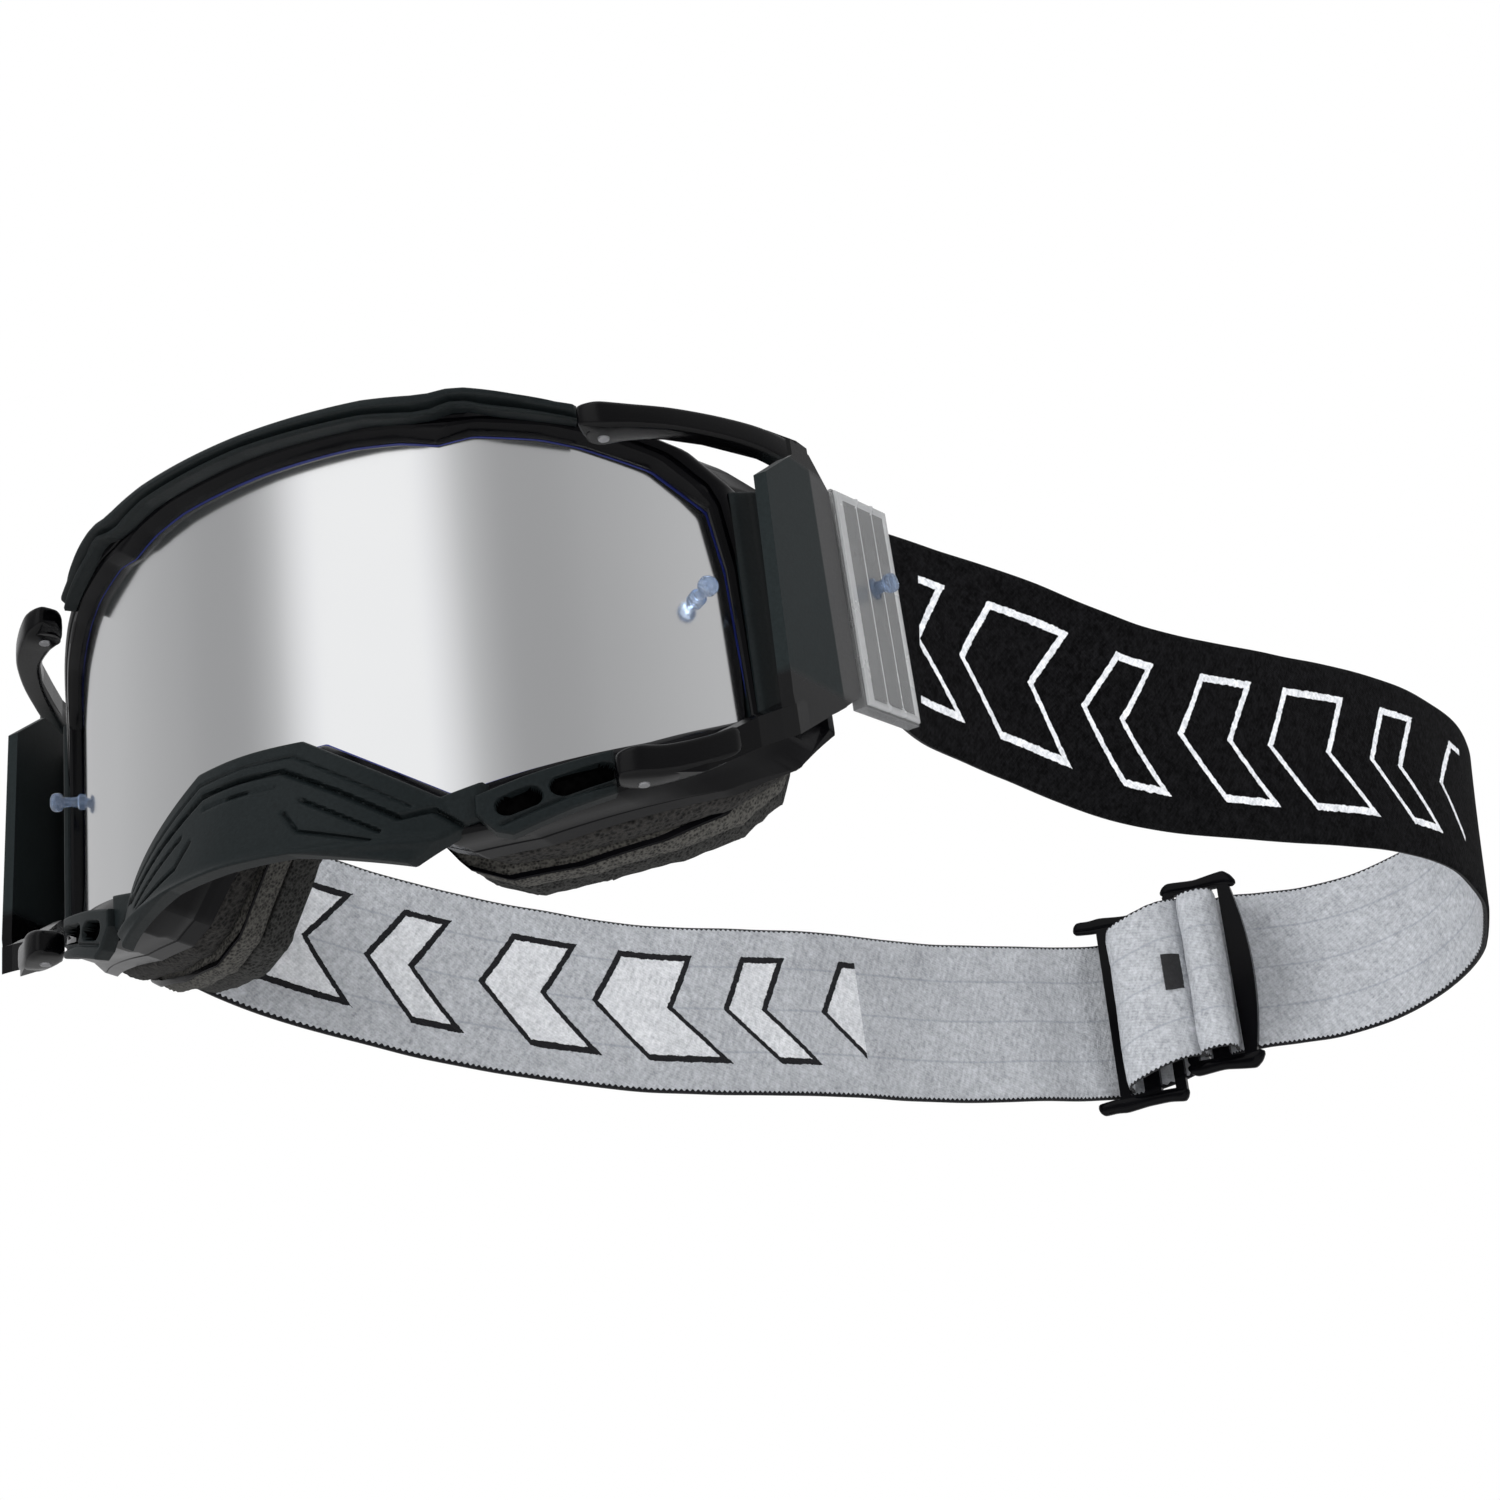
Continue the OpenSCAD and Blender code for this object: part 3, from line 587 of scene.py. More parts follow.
def relief(name, xs, low, high, place, height, thick, body, slot, replaces=(), rows=40, edge=0.9,
           other=None):
    """A raised plate between two lines z = low(x) and z = high(x).

    place(x, z, h) gives points standing h off the surface below, height(points) the face's height.
    other is (material, test of a height) for the parts of the face in a second material."""
    xs = np.asarray(xs, float)
    t = (1 - np.cos(np.linspace(0, math.pi, rows))) / 2
    flat = np.zeros((len(xs), rows, 2))
    lows, highs = np.array([low(x) for x in xs]), np.array([high(x) for x in xs])
    flat[..., 0] = xs[:, None]
    flat[..., 1] = lows[:, None] + (highs - lows)[:, None] * t
    ring = [*zip(xs, highs), *zip(xs[::-1], lows[::-1]), (xs[0], highs[0])]
    inward = np.clip(distance_to(flat, ring) / edge, 0, 1)
    rounding = edge * (1 - np.sqrt(1 - (1 - inward) ** 2))
    top = np.maximum(height(flat) - rounding, 0.0)
    face = place(flat[..., 0], flat[..., 1], top)
    back = place(flat[..., 0], flat[..., 1], np.full(top.shape, -thick))
    points, faces = grid(face)
    more, under = grid(back)
    offset = len(points)
    faces += [tuple(i + offset for i in reversed(f)) for f in under]
    rim = [i * rows for i in range(len(xs))]
    rim += [(len(xs) - 1) * rows + j for j in range(1, rows)]
    rim += [i * rows + rows - 1 for i in range(len(xs) - 2, -1, -1)]
    rim += list(range(rows - 2, 0, -1))
    for a, b in zip(rim, rim[1:] + rim[:1]):
        faces.append((a, b, b + offset, a + offset))
    materials, picks = [slot], None
    if other:
        materials.append(other[0])
        bare = height(flat)
        middle = (bare[:-1, :-1] + bare[1:, :-1] + bare[:-1, 1:] + bare[1:, 1:]) / 4
        picks = [int(other[1](h)) for h in middle.ravel()]
        picks += [0] * (len(faces) - len(picks))
    piece(name, np.vstack([points, more]), faces, body, slot, materials, replaces, picks)


def line(points):
    """The function z(x) of a polyline."""
    xs, zs = [p[0] for p in points], [p[1] for p in points]
    return lambda x: float(np.interp(x, xs, zs))


def groove(flat, path, wide, deep):
    """Depth of a soft-edged groove along a path."""
    return deep * np.exp(-(distance_to(flat, path) / wide) ** 2)


def spaced(low, high, step, side=1):
    """Even values of x on one side of the goggles, in order."""
    values = np.round(np.linspace(low, high, int((high - low) / step) + 1), 3)
    return sorted(side * x for x in set(values))


def mirrored(points):
    """A line across the whole front from its half at x >= 0."""
    return [[-x, z] for x, z in reversed(points)] + [[x, z] for x, z in points if x > 0]


# ---- Front frame ----
def frame_shell():
    angles = shared_angles([LENS_OPEN, RIM, WALL, FACE_OPEN])
    opening, rim, wall, face = (reach(o, angles) for o in (LENS_OPEN, RIM, WALL, FACE_OPEN))

    def between(share):
        return opening + (rim - opening) * share

    def deep(flat, share):
        """Points a share of the way from behind the lens to the flange."""
        front, rear = on_lens(flat, -FRAME_BACK), on_face(flat, FLANGE_R + FLANGE_THICK)
        rear[:, 1] = np.maximum(rear[:, 1], front[:, 1] + 0.4)
        return front + (rear - front) * share

    rings = [
        on_lens(grown(opening, -0.1), -1.8), on_lens(grown(opening, -0.1), 0.35),
        on_lens(grown(opening, 0.15), 1.1), on_lens(between(0.10), 1.7), on_lens(between(0.22), 2.5),
        on_lens(between(0.36), 3.1), on_lens(between(0.52), 3.3), on_lens(between(0.58), 2.95),
        on_lens(between(0.62), 2.95), on_lens(between(0.66), 3.5), on_lens(between(0.80), 3.8),
        on_lens(between(0.93), 3.75), on_lens(between(0.99), 3.2), on_lens(rim, 2.4),
        on_lens(rim, -1.5), deep(wall, 0.02), deep(wall, 0.45), deep(grown(wall, -0.25), 0.5),
        deep(grown(wall, -0.25), 0.56), deep(wall, 0.61), deep(wall, 0.97), on_face(wall, FLANGE_R),
        on_face(face, FLANGE_R), on_face(face, FLANGE_R + FLANGE_THICK), deep(grown(wall, -2.4), 0.9),
        deep(grown(wall, -2.4), 0.1), on_lens(grown(opening, 2.6), -FRAME_BACK),
        on_lens(grown(opening, 0.2), -FRAME_BACK)]
    points, faces = grid(rings, around=True, along=True)
    piece("frame_shell", points, faces, "goggles", "frame_black", replaces=["frame_body"], sharp=28)


def rounded_sweep(stations):
    """A bar with rounded edges; a station is [x, y, z low, z high, half thickness]."""
    stations = np.array(stations, float)
    last = len(stations) - 1
    dense = []
    for t in np.linspace(0, last, 6 * last + 1):
        i = min(int(t), last - 1)
        dense.append(curve(stations[max(i - 1, 0)], stations[i], stations[i + 1],
                           stations[min(i + 2, last)], t - i))
    dense = np.array(dense)
    heading = np.gradient(dense[:, :2], axis=0)
    heading /= np.linalg.norm(heading, axis=1)[:, None]
    rows = []
    for i, ((x, y, low, high, half), (hx, hy)) in enumerate(zip(dense, heading)):
        close = min(i, len(dense) - 1 - i)
        scale = (0.55, 0.85, 0.97)[close] if close < 3 else 1.0
        rows.append([(x - hy * across * half * scale, y + hx * across * half * scale,
                      (low + high) / 2 + rise * (high - low) / 2 * scale)
                     for across, rise in rounded_square(24, 0.45)])
    return tube(rows)


def arm_cover(side, level, stations):
    """Smooth outer shape of an outrigger's arm, round its hinge barrel."""
    name = side_name(side)
    points, faces = rounded_sweep(stations)
    points = points * np.array([side, 1, 1])
    cover = piece(f"arm_cover_{level}_{name}", points, faces, f"arm_{name}", "outrigger_black",
                  sharp=50)
    cover.visible_glossy = False


UPPER_ARM = [[62.7, -47.4, 30.4, 34.3, 1.9], [64.1, -46.9, 29.2, 34.5, 3.1],
             [66.5, -45.6, 28.2, 34.4, 3.9], [71, -43, 28.3, 33.7, 3.3], [77, -38, 28.4, 33.4, 2.6],
             [83, -30, 28.4, 33.4, 2.3], [87.6, -22, 28.0, 33.4, 2.1], [90.6, -15, 26.5, 32.8, 1.9],
             [91.4, -11.5, 25, 31.4, 1.7]]
LOWER_ARM = [[62.6, -47.8, -41.2, -36.8, 2.2], [64, -47, -41.6, -35.9, 3.2],
             [66.5, -45.5, -41.8, -35.4, 3.7], [70.5, -43, -41.4, -35.4, 3.0],
             [76, -38.5, -39.6, -33.8, 2.5], [80.5, -33.5, -36.8, -31, 2.3]]


def hinge_pin(side, level, low, high):
    name = side_name(side)
    profile = [[low, 0.5], [low, 1.0], [low + 0.2, 1.12], [high - 0.2, 1.12], [high, 1.0], [high, 0.5]]
    pin = turned(f"hinge_pin_shape_{level}_{name}", profile, (side * HINGE[0], HINGE[1], 0), (0, 0, 1),
                 "goggles", "pin_steel", [f"hinge_pin_{level}_{name}"])
    pin.visible_glossy = False


def temple_rib(side):
    """Textured pad on the outer part of the rim, beside the lens."""
    low, high = line([[80.2, -25.5], [85.6, -24.5]]), line([[80.2, 22], [85.6, 24]])
    edges = [[82.9, -23], [82.9, 22]]

    def height(flat):
        return 1.5 - groove(flat * np.array([side, 1]), edges, 0.3, 0.25)

    relief(f"temple_rib_{side_name(side)}", spaced(80.2, 85.6, 0.3, side), lambda x: low(abs(x)),
           lambda x: high(abs(x)), lens_place(3.3), height, 6.0, "goggles", "trim_matte", rows=50,
           edge=1.0)


def lens_place(base):
    """The place function of a relief that stands base off the lens's outer face."""
    def place(x, z, h):
        angle = np.arcsin(np.clip(x / (LENS_R + base), -0.999, 0.999))
        radius = LENS_R + base + h
        return np.stack([radius * np.sin(angle), LENS_AXIS - radius * np.cos(angle), z], axis=-1)
    return place


def brow_trim():
    low = line(mirrored([[0, 39.2], [25, 38.7], [33, 37.6], [37, 37.6], [40.5, 38.4], [43, 38.3],
                         [50, 36.4], [60.5, 34.2]]))
    high = line(mirrored([[0, 43.5], [25, 43], [34, 41.7], [37, 41.6], [40, 42.2], [43, 42],
                          [51, 39.7], [60, 37.6], [61, 36.8]]))
    crease = mirrored([[0, 40.6], [25, 40.0], [34, 38.9], [37, 39.0], [40.3, 39.8], [43, 39.6],
                       [52, 37.4], [60, 35.2]])

    def height(flat):
        share = np.clip((flat[..., 1] - 38.2) / 5, 0, 1)
        return 2.6 + 1.0 * np.sin(share * math.pi) ** 0.7 - groove(flat, crease, 0.5, 1.7)

    relief("brow_trim_shape", spaced(-60.4, 60.4, 0.6), low, high, lens_place(TRIM_BASE), height, 0.6,
           "goggles", "trim_matte", ["brow_trim"], rows=34)


def guard_place(x, z, h):
    """Surface of the leaning nose arch, not further back than the rim."""
    radius, lean = GUARD_RADIUS + h, math.tan(math.radians(GUARD_LEAN))
    front = GUARD_AXIS - np.sqrt(np.maximum(radius ** 2 - x ** 2, 1.0)) + (z - GUARD_TOP) * lean
    rim_radius = LENS_R + 3.7 + h
    rim = LENS_AXIS - np.sqrt(rim_radius ** 2 - x ** 2)
    return np.stack([x, np.minimum(front, rim), z], axis=-1)


def nose_guard():
    low = line(mirrored([[0, -48.1], [12.5, -48.4], [30.5, -52.4], [36.8, -45], [40.5, -44.2]]))
    high = line(mirrored([[0, -24.4], [11.3, -24.4], [33.6, -39], [40.5, -37.2]]))
    zigzag = mirrored([[0, -30.2], [8.5, -30.4], [19.5, -37.2], [28.5, -43.3], [33, -41.8], [38, -46]])
    upper = mirrored([[0, -27.4], [10, -27.6], [20, -34.2], [30, -41]])
    slash = [[13, -37.5], [26, -45.8]]
    hook = [[10, -39.5], [13, -43.8], [25, -47.6]]
    slot = [[7.5, -33.5], [3.0, -33.4], [-2, -33.2]]

    def height(flat):
        spine = 0.5 * np.exp(-(flat[..., 0] / 9) ** 2)
        lower_edge = 0.9 * np.exp(-((flat[..., 1] + 48.6) / 1.1) ** 2)
        cut = groove(flat, zigzag, 0.45, 1.5) + groove(flat, upper, 0.3, 0.5)
        for side in (1, -1):
            for path, deep in ((slash, 1.05), (hook, 0.9), (slot, 0.45)):
                cut = cut + groove(flat, [[side * x, z] for x, z in path], 0.35, deep)
        return 1.4 + spine + lower_edge - cut

    relief("nose_guard_shape", spaced(-40.5, 40.5, 0.35), low, high, guard_place, height, 1.2,
           "goggles", "trim_matte", ["nose_guard"], rows=90, edge=0.8)


def vent_trim(side):
    """Lower vent trim with two slots whose floors are painted near black: painted shade of the deep
    holes, and the dark foam behind them.
    """
    low = line([[39, -43.8], [42, -47.5], [44.6, -48.4], [53.8, -44.4], [60.2, -42]])
    high = line([[39, -40.4], [47, -37.6], [60.2, -33.7]])
    slots = [[[44.0, -42.9], [47.6, -41.6]], [[52.4, -40.1], [58.6, -38.0]]]
    step = [[43, -46.2], [53, -42.2], [60, -40.2]]

    def height(flat):
        flat = flat * np.array([side, 1])
        depth = sum(4.0 / (1 + np.exp((distance_to(flat, s) - 1.65) * 12)) for s in slots)
        return np.maximum(2.5 - depth - groove(flat, step, 0.4, 0.7), 0.05)

    name = side_name(side)
    # Faces lower than 1.2 (the slot floors) take the near-black vent material: painted shade of the
    # holes, and the dark foam behind them.
    relief(f"vent_trim_shape_{name}", spaced(39, 60.2, 0.25, side), lambda x: low(abs(x)),
           lambda x: high(abs(x)), lens_place(TRIM_BASE), height, 0.5, "goggles", "trim_matte",
           [f"vent_trim_{name}"], rows=70, edge=0.6, other=("hollow", lambda h: h < 1.2))


def lens_sheet():
    """The mirror lens, and the tinted line along the edge of what shows of it."""
    low = line(mirrored([[x, z - 1.4] for x, z in reversed(LENS_OPEN[9:])]))
    high = line(mirrored([[x, z + 1.4] for x, z in LENS_OPEN[:10]]))
    relief("lens_sheet", spaced(-79.4, 79.4, 0.8), low, high, lens_place(0),
           lambda flat: np.zeros(flat.shape[:-1]), LENS_THICK, "goggles", "lens_mirror", ["lens"])
    edge = reach(LENS_OPEN, shared_angles([LENS_OPEN]))
    strip = [on_lens(grown(edge, -0.55), 0.06), on_lens(grown(edge, -0.3), 0.14),
             on_lens(grown(edge, 0.4), 0.14)]
    points, faces = grid(strip, around=True)
    piece("lens_edge_line", points, faces, "goggles", "lens_mirror", materials=["lens_edge"])


def turned(name, profile, origin, axis, body, slot, replaces=()):
    """A lathe shape: profile is [distance along the axis, radius]."""
    axis = Vector(axis).normalized()
    side = axis.orthogonal().normalized()
    other = axis.cross(side)
    rows = []
    for along, radius in profile:
        rows.append([tuple(Vector(origin) + axis * along
                           + (side * math.cos(a) + other * math.sin(a)) * radius)
                     for a in np.linspace(0, 2 * math.pi, 32, endpoint=False)])
    return piece(name, *tube(rows), body, slot, replaces=replaces, sharp=40)


def lens_post(side):
    name = side_name(side)
    angle = math.radians(POST_ANGLE)
    axis = (side * math.sin(angle), -math.cos(angle), 0)
    profile = [[-2.2, 0.6], [-2, 1.2], [0, 1.2], [0.1, 1.7], [1, 1.7], [1.3, 1.15], [2.6, 1.0],
               [4.2, 1.1], [4.5, 1.7], [4.9, POST_HEAD], [6.0, POST_HEAD], [6.6, 1.6], [6.9, 0.8]]
    turned(f"lens_post_shape_{name}", [[LENS_R + off, radius] for off, radius in profile],
           (0, LENS_AXIS, 0), axis, "goggles", "post_clear", [f"lens_post_{name}"])


def clip_frame(side):
    """Origin, direction along the strap and outward direction of a clip."""
    slant = math.radians(CLIP_SLANT)
    along = Vector((side * math.sin(slant), math.cos(slant), 0))
    out = Vector((side * math.cos(slant), -math.sin(slant), 0))
    return Vector((side * CLIP_START[0], CLIP_START[1], 0)), along, out


def clip_post(side):
    name = side_name(side)
    origin, along, out = clip_frame(side)
    start = origin + along * CLIP_POST[0] + Vector((0, 0, CLIP_POST[1]))
    profile = [[0.02, 2.3], [0.5, 2.2], [0.8, 1.3], [2.4, 1.25], [2.7, 1.7], [3.1, POST_HEAD],
               [4.3, POST_HEAD], [4.8, 1.7], [5.1, 0.9]]
    turned(f"clip_post_shape_{name}", profile, start, out, f"arm_{name}", "post_clear",
           [f"clip_post_{name}"])


def clip_face(side):
    """Raised border and upright ribs on the outside of a clip; the faces of the border and ribs take a
    lighter copy of the smoked plastic, a painted highlight.
    """
    name = side_name(side)
    origin, along, out = clip_frame(side)
    low = line([[CLIP_FROM, -20.6], [CLIP_TO, -18.1]])
    high = line([[CLIP_FROM, 26.2], [CLIP_TO, 29.6]])

    def place(x, z, h):
        spots = [[np.array(origin + along * a + out * b) for a, b in zip(row_x, row_h)]
                 for row_x, row_h in zip(x, h)]
        spots = np.array(spots)
        spots[..., 2] = z
        return spots

    def height(flat):
        x, z = flat[..., 0], flat[..., 1]
        lows, highs = np.vectorize(low)(x), np.vectorize(high)(x)
        rim = np.minimum(np.minimum(x - CLIP_FROM, CLIP_TO - x), np.minimum(z - lows, highs - z))
        border = 0.55 / (1 + np.exp((rim - 1.5) * 6))
        front = 0.5 / (1 + np.exp((x - 3.4) * 6))
        ribs = sum(0.35 * np.exp(-((x - at) / 0.35) ** 2) for at in (9.2, 15.6))
        return 0.25 + np.maximum(border, front) + ribs

    # Faces higher than 0.48 (the border and ribs) take the lighter material, a painted highlight.
    relief(f"clip_face_{name}", spaced(CLIP_FROM, CLIP_TO, 0.2), low, high, place, height, -0.02,
           f"arm_{name}", "clip_smoke", rows=60, edge=0.5, other=("clip_edge", lambda h: h > 0.48))


# ---- Strap ----
def route_at(t):
    """The route's [x, y, z, lean] at t, which counts its points."""
    i = min(int(math.floor(t)), len(ROUTE) - 2)
    b, c = np.array(ROUTE[i], float), np.array(ROUTE[i + 1], float)
    a = 2 * b - c if i == 0 else np.array(ROUTE[i - 1], float)
    d = 2 * c - b if i + 2 > len(ROUTE) - 1 else np.array(ROUTE[i + 2], float)
    return curve(a, b, c, d, t - i)


def strap_section(t):
    """(centre, direction across, outward direction) of the strap at t."""
    along = route_at(min(t + 0.02, len(ROUTE) - 1.001))[:3] - route_at(max(t - 0.02, 0))[:3]
    along /= np.linalg.norm(along)
    upright = np.array([0, 0, 1]) - along * along[2]
    upright /= np.linalg.norm(upright)
    lean = math.radians(route_at(t)[3])
    across = upright * math.cos(lean) + np.cross(along, upright) * math.sin(lean)
    return route_at(t)[:3], across, np.cross(along, across)


def strap_band(name, t_from, t_to, count, reverse, replaces):
    """One half of the strap as a woven band; its distances are counted from its own clip."""
    profile = [(w, STRAP_HALF_THICK * h) for w, h in (
        (-1, 0.3), (-0.985, 0.75), (-0.94, 1), (-0.6, 1), (-0.3, 1), (0, 1), (0.3, 1), (0.6, 1),
        (0.94, 1), (0.985, 0.75), (1, 0.3))]
    profile += [(w, -h) for w, h in reversed(profile)]
    rows, marks, length = [], [], 0.0
    before = None
    for t in np.linspace(t_from, t_to, count):
        centre, across, out = strap_section(t)
        if before is not None:
            length += np.linalg.norm(centre - before)
        before = centre
        marks.append(length)
        ripple = 0.22 * math.sin(length / 6.3) + 0.12 * math.sin(length / 2.9 + 1.0)
        row = []
        for w, h in profile:
            wave = ripple * w ** 2 + 0.15 * math.sin(length / 4.1 + 2.0 * w)
            row.append(centre + across * w * STRAP_W / 2 + out * (h + wave * 0.6))
        rows.append(row)
    side = len(profile)
    half = side // 2
    picks = [0 if j < half - 1 else 2 if j in (half - 1, side - 1) else 1
             for _ in range(count - 1) for j in range(side)] + [2, 2]
    uv = []
    for mark in marks:
        u = (length - mark if reverse else mark) * MM
        uv += [(u, w * STRAP_W / 2 * MM) for w, _ in profile]
    band = piece(name, *tube(rows), None, "strap_weave",
                 ["strap_weave", "strap_lining", "thread_black"], replaces, picks, sharp=50, uv=uv)
    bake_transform(band)


def fold(name, path, centre, z_shift, body, replaces):
    """Webbing bent over the bars: path is [distance along, distance outward] in front of the slider."""
    half_width, beyond_motif = 22.2, 300
    spots = [np.array(p, float) for p in path]
    last = len(spots) - 1
    smooth = [curve(spots[max(i - 1, 0)], spots[i], spots[i + 1], spots[min(i + 2, last)], f)
              for i in range(last) for f in np.linspace(0, 1, 7, endpoint=False)]
    smooth.append(spots[-1])
    smooth = np.array(smooth)
    normals = np.gradient(smooth, axis=0)
    normals = np.column_stack([-normals[:, 1], normals[:, 0]])
    normals /= np.linalg.norm(normals, axis=1)[:, None]
    widths = np.linspace(-1, 1, 17)
    sides = [(w, FOLD_HALF_THICK) for w in widths] + [(w, -FOLD_HALF_THICK) for w in widths[::-1]]
    rows, uv, length = [], [], 0.0
    for i, (spot, normal) in enumerate(zip(smooth, normals)):
        if i:
            length += np.linalg.norm(spot - smooth[i - 1])
        shift = z_shift * np.clip((spot[0] - path[0][0]) / (path[-1][0] - path[0][0]), 0, 1)
        row = []
        for w, h in sides:
            sag = 0.35 * math.sin(3.1 * w + 0.3 * i) + 0.25 * math.sin(9 * w + i)
            pull = 1 - 0.12 * (1 - abs(w)) if h > 0 else 1
            height = h * (1.0 if abs(w) < 0.99 else 0.4)
            z = w * half_width + shift
            x, out = spot + normal * (height + sag * 0.5 * pull)
            row.append((centre[0] + x + z * math.tan(SLIDER_TILT), centre[1] - out, centre[2] + z))
            uv.append(((length + beyond_motif) * MM, w * half_width * MM))
        rows.append(row)
    points, faces = tube(rows)
    picks = [0] * (len(faces) - 2) + [1, 1]
    return piece(name, points, faces, body, "strap_lining", ["strap_lining", "thread_black"], replaces,
                 picks, sharp=60, uv=uv)


WINGED_RAIL = [[-16.0, 25.4, 1.0, 1.0], [-14.6, 25.9, 1.8, 1.3], [-11, 25.6, 1.9, 1.3],
               [-8, 25.7, 2.1, 1.3], [-2, 25.4, 1.6, 1.3], [4, 25.2, 1.6, 1.3], [8.2, 25.5, 1.9, 1.3],
               [9.6, 24.9, 1.0, 1.0]]
BOWED_RAIL = [[-9.8, 25, 1.0, 1.0], [-7.5, 25.7, 1.8, 1.3], [0, 25.2, 1.6, 1.3], [5, 25.6, 1.9, 1.3],
              [8.6, 25.6, 2.3, 1.4], [11.4, 24.2, 1.3, 1.1]]


def slider_rail(name, place, body, stations, end):
    """Rounded end rail of a slider; a station is [along, across, half width, half thickness]."""
    cos, sin = math.cos(SLIDER_TILT), math.sin(SLIDER_TILT)
    stations = np.array(stations, float)
    steps = np.linspace(0, len(stations) - 1, 5 * (len(stations) - 1) + 1)
    dense = np.column_stack([np.interp(steps, range(len(stations)), stations[:, i]) for i in range(4)])
    dense[1:-1] = (dense[:-2] + 2 * dense[1:-1] + dense[2:]) / 4
    rows = []
    for i, (along, across, half, thick) in enumerate(dense):
        close = min(i, len(dense) - 1 - i)
        scale = (0.4, 0.8, 1.0)[min(close, 2)]
        row = []
        for wide, out in rounded_square(16, 0.6):
            z = end * (across + wide * half * scale)
            row.append((place[0] + along * cos + z * sin, place[1] - out * thick * scale,
                        place[2] - along * sin + z * cos))
        rows.append(row)
    piece(name, *tube(rows), body, "slider_black", sharp=60)


def bartack():
    """Dense block of stitching on the wide fold."""
    x0, x1, z0, z1 = 93.2, 98.5, -31.0, -20.5
    rows = []
    for z in np.linspace(z0, z1, 24):
        row = []
        for x in np.linspace(x0, x1, 10):
            share = (x - x0) / (x1 - x0)
            ridge = 0.16 * abs(math.sin(z * 5.2))
            edge = 1 if 0.05 < share < 0.95 and z0 + 0.4 < z < z1 - 0.4 else 0
            out = 8.6 - 4.9 * share ** 1.8 + 1.6 * edge + ridge
            row.append((x + (z + 25) * 0.04, SLIDER_RIGHT[1] - out, z))
        rows.append(row)
    return piece("bartack_stitching", *grid(rows), None, "thread_black", replaces=["bartack"])


# ---- Foam ----
def foam_ring(name, outer, inner, front, rear, slot, node, seed, swell, waist):
    """A padded ring round the face opening between two radii about the face's axis.

    Its outer side bulges by swell at half depth and pulls in by waist where it is glued."""
    angles = shared_angles([outer], even=300)
    edge, hole = reach(outer, angles), reach(inner, angles)
    rng = np.random.default_rng(seed)
    lumps = np.zeros(len(angles))
    for k in range(3, 30):
        lumps += rng.normal() * np.cos(k * np.array(angles) + rng.uniform(0, 6.28)) / k
    thick = front - rear
    profile = []
    for s in np.linspace(0, 1, 13):
        bulge = swell * math.sin(math.pi * s) ** 0.6 - waist * (1 - math.sin(math.pi * s) ** 0.5)
        profile.append((bulge, front - 0.15 - (thick - 0.3) * s, "outer"))
    for s in np.linspace(0, 1, 9)[1:-1]:
        profile.append((s, rear + 0.1 * math.sin(math.pi * s), "rear"))
    for s in np.linspace(1, 0, 9):
        bulge = swell * 0.5 * math.sin(math.pi * s)
        profile.append((-bulge, front - 0.15 - (thick - 0.3) * s, "inner"))
    rings = []
    for value, radius, zone in profile:
        if zone == "outer":
            flat = grown(edge, value)
            flat = flat + (flat - CENTRE) / 45.0 * lumps[:, None] * 0.28
        elif zone == "rear":
            flat = edge + (hole - edge) * value
        else:
            flat = grown(hole, value)
        rings.append(on_face(flat, radius))
    points, faces = grid(rings, around=True, along=True)
    ring = piece(name, points, faces, "goggles", slot, replaces=[node], sharp=70)
    roughen(ring, 0.00009, seed)


def roughen(obj, amount, seed):
    """Moves each point a little along its normal, for an uneven foam skin; amount is in metres."""
    rng = np.random.default_rng(seed)
    for vertex in obj.data.vertices:
        vertex.co += vertex.normal * float(rng.normal()) * amount


def vent_foam(node, seed):
    """Soft insert behind a row of vents: the CAD pad with rounded edges and an uneven skin."""
    pad = bmesh.new()
    pad.from_mesh(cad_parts[node].data)
    bmesh.ops.remove_doubles(pad, verts=pad.verts, dist=1e-6)
    bmesh.ops.triangulate(pad, faces=pad.faces)
    bmesh.ops.subdivide_edges(pad, edges=pad.edges, cuts=3, use_grid_fill=True)
    bmesh.ops.smooth_vert(pad, verts=pad.verts, factor=0.4, use_axis_x=True, use_axis_y=True,
                          use_axis_z=True)
    pad.verts.index_update()
    points = [tuple(v.co / MM) for v in pad.verts]
    faces = [tuple(v.index for v in f.verts) for f in pad.faces]
    pad.free()
    # The pad takes the near-black vent material: the foam's own dark colour plus painted shade.
    insert = piece(f"{node}_pad", points, faces, "goggles", "foam_coarse", ["hollow"], [node],
                   sharp=70)
    roughen(insert, 0.00006, seed)


def seam(name, outline, radius):
    """Thin glossy glue line between two layers of foam."""
    angles = shared_angles([outline])
    edge = reach(outline, angles)
    rings = [on_face(grown(edge, out), radius + rise) for out, rise in
             ((-1, 0.3), (0.1, 0.3), (0.35, 0), (0.1, -0.3), (-1, -0.3))]
    piece(name, *grid(rings, around=True), "goggles", "frame_black")


# ---- CAD nodes that stay ----
def finish_cad(name, material, bevel):
    """Gives a CAD node that stays its material and rounded edges."""
    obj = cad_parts[name]
    obj.data.materials.clear()
    obj.data.materials.append(MATERIALS[material])
    obj.data.shade_smooth()
    obj.data.set_sharp_from_angle(angle=math.radians(30))
    mod = obj.modifiers.new("bevel", "BEVEL")
    mod.width = bevel * MM
    mod.segments = 3
    mod.limit_method = "ANGLE"
    mod.angle_limit = math.radians(32)
    mod.harden_normals = True


add_camera()
add_world()
add_softbox("key", (-0.5, -0.9, 0.75), (0.4, 0.6), 17.0)
add_softbox("side", (1.1, -0.3, 0.25), (0.35, 0.9), 8.0)
add_softbox("under", (0.3, -0.6, -0.24), (0.7, 0.3), 1.6)
add_floor()

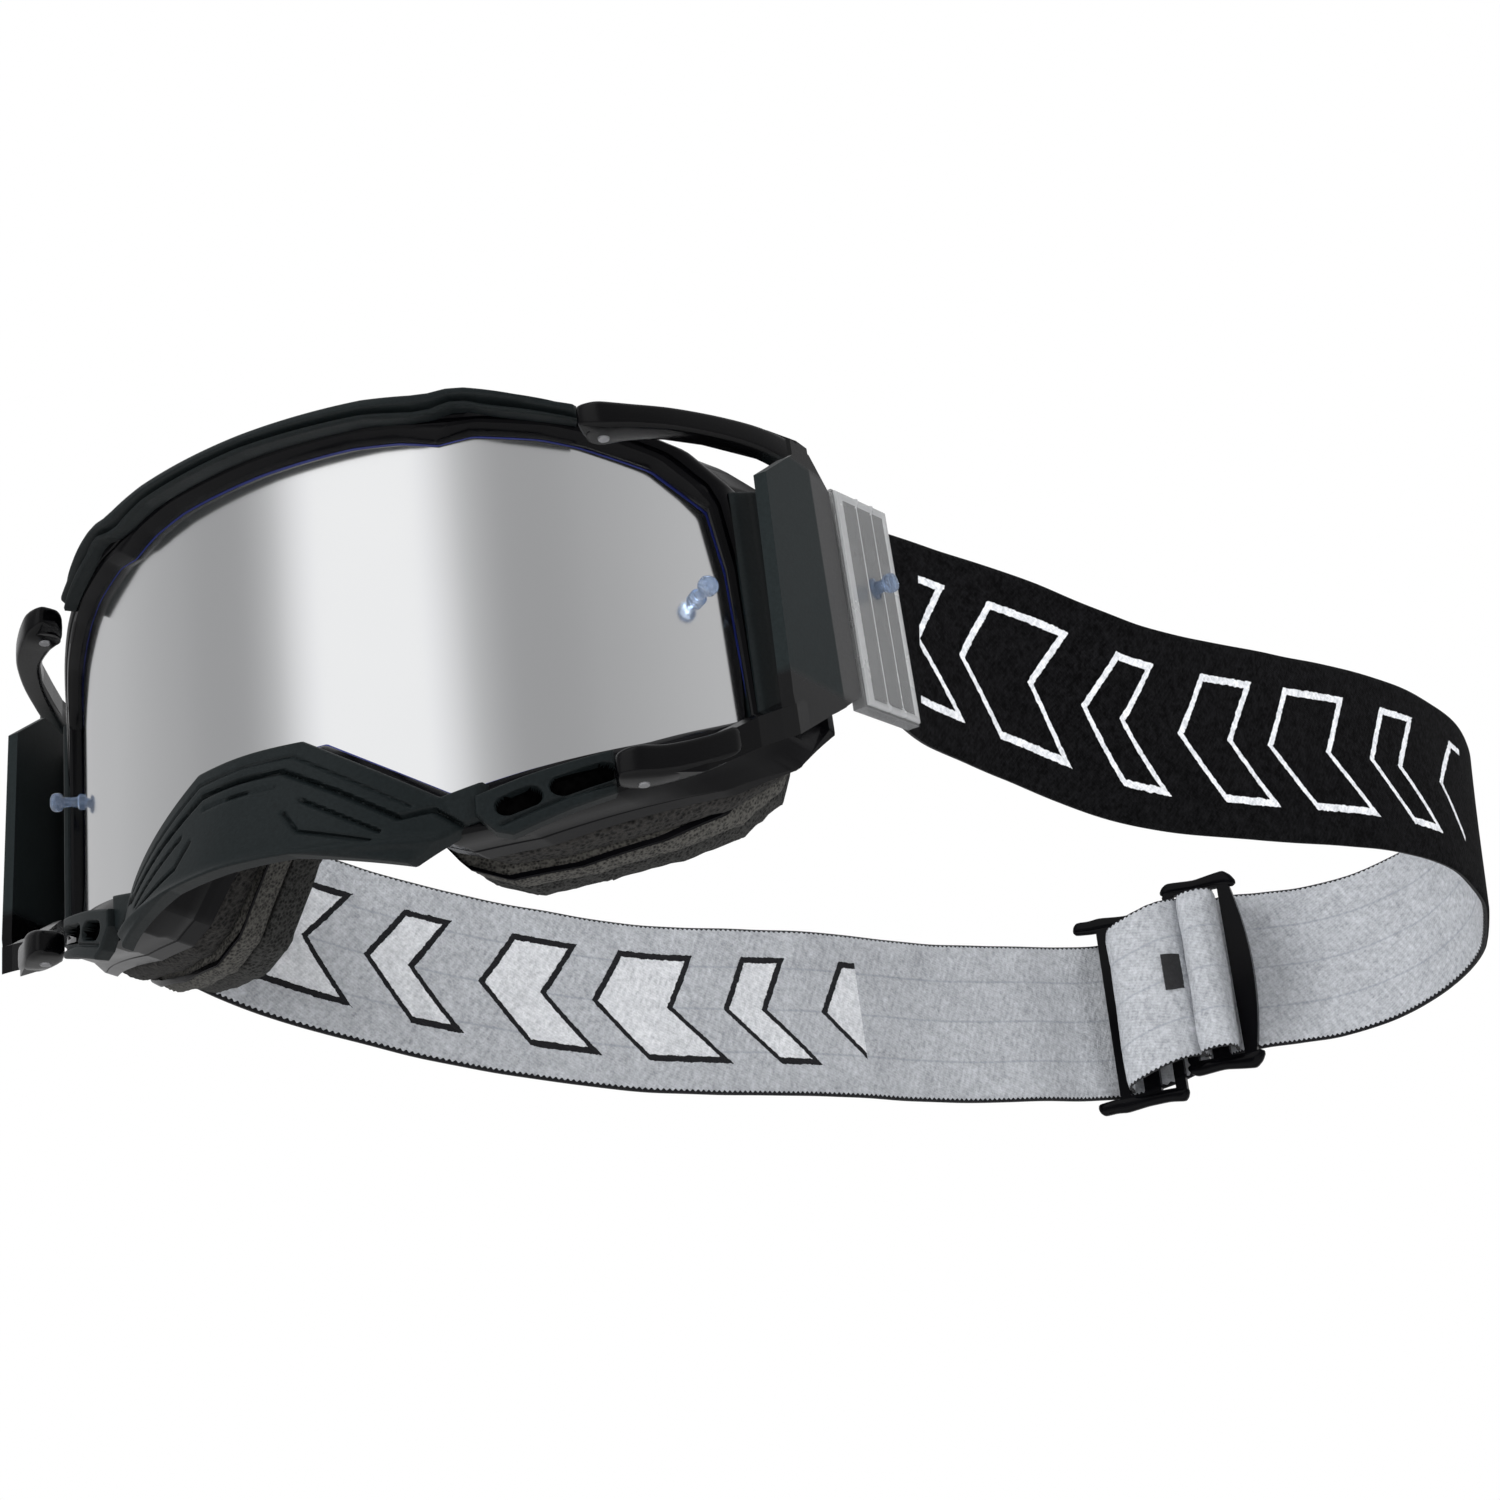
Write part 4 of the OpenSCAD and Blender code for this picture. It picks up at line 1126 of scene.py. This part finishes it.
frame_shell()
brow_trim()
nose_guard()
lens_sheet()
for sign in (1, -1):
    name = side_name(sign)
    vent_trim(sign)
    temple_rib(sign)
    lens_post(sign)
    clip_post(sign)
    clip_face(sign)
    arm_cover(sign, "upper", UPPER_ARM)
    arm_cover(sign, "lower", LOWER_ARM)
    finish_cad(f"outrigger_{name}", "outrigger_black", 0.5)
    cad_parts[f"outrigger_{name}"].visible_glossy = False
    finish_cad(f"clip_{name}", "clip_smoke", 0.4)
    hinge_pin(sign, "upper", 27.9, 33.6)
    hinge_pin(sign, "lower", -42.1, -36.2)
    finish_cad(f"slider_{name}", "slider_black", 0.45)
    vent_foam(f"vent_foam_lower_{name}", 11)
vent_foam("vent_foam_upper", 13)

strap_band("strap_band_left", 0.0, SPLIT - 0.02, 420, False,
           ["strap_left", "strap_end_left"])
strap_band("strap_band_right", SPLIT + 0.02, len(ROUTE) - 1.01, 380, True,
           ["strap_right", "strap_end_right"])

wide = fold("fold_wide", [[-6.0, -1.6], [-5.6, 1.5], [-5.0, 4.6], [-2.6, 7.6], [1.5, 9.0], [6.5, 9.2],
                          [10.5, 8.2], [13.6, 5.4], [15.2, 2.0], [15.6, -1.0]],
            SLIDER_RIGHT, 5.2, None, ["strap_fold_right"])
for cloth in (wide, bartack()):
    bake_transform(cloth)
fold("fold_narrow", [[-3.6, -1.4], [-4.3, 1.6], [-4.0, 4.6], [-2.0, 7.0], [1.0, 7.6], [3.6, 6.0],
                     [4.8, 3.0], [4.6, 0.2], [4.2, -1.4]],
     SLIDER_LEFT, 0.0, "buckle_left", ["strap_fold_left"])

for end, name in ((1, "top"), (-1, "bottom")):
    slider_rail(f"slider_rail_right_{name}", SLIDER_RIGHT, "buckle_right", WINGED_RAIL, end)
    slider_rail(f"slider_rail_left_{name}", SLIDER_LEFT, "buckle_left", BOWED_RAIL, end)

foam_ring("foam_base_ring", BASE_OUT, FOAM_OPEN, FLANGE_R - 0.1, 93.1, "foam_coarse", "foam_base", 3,
          swell=0.6, waist=0.5)
foam_ring("foam_middle_ring", MIDDLE_OUT, FOAM_OPEN, 93.0, 87.1, "foam_grey", "foam_middle", 5,
          swell=0.5, waist=0.6)
foam_ring("foam_face_ring", FACE_OUT, FOAM_OPEN, 87.0, 79.0, "foam_soft", "foam_face", 7,
          swell=0.9, waist=0.5)
seam("foam_seam", MIDDLE_OUT, 93.05)
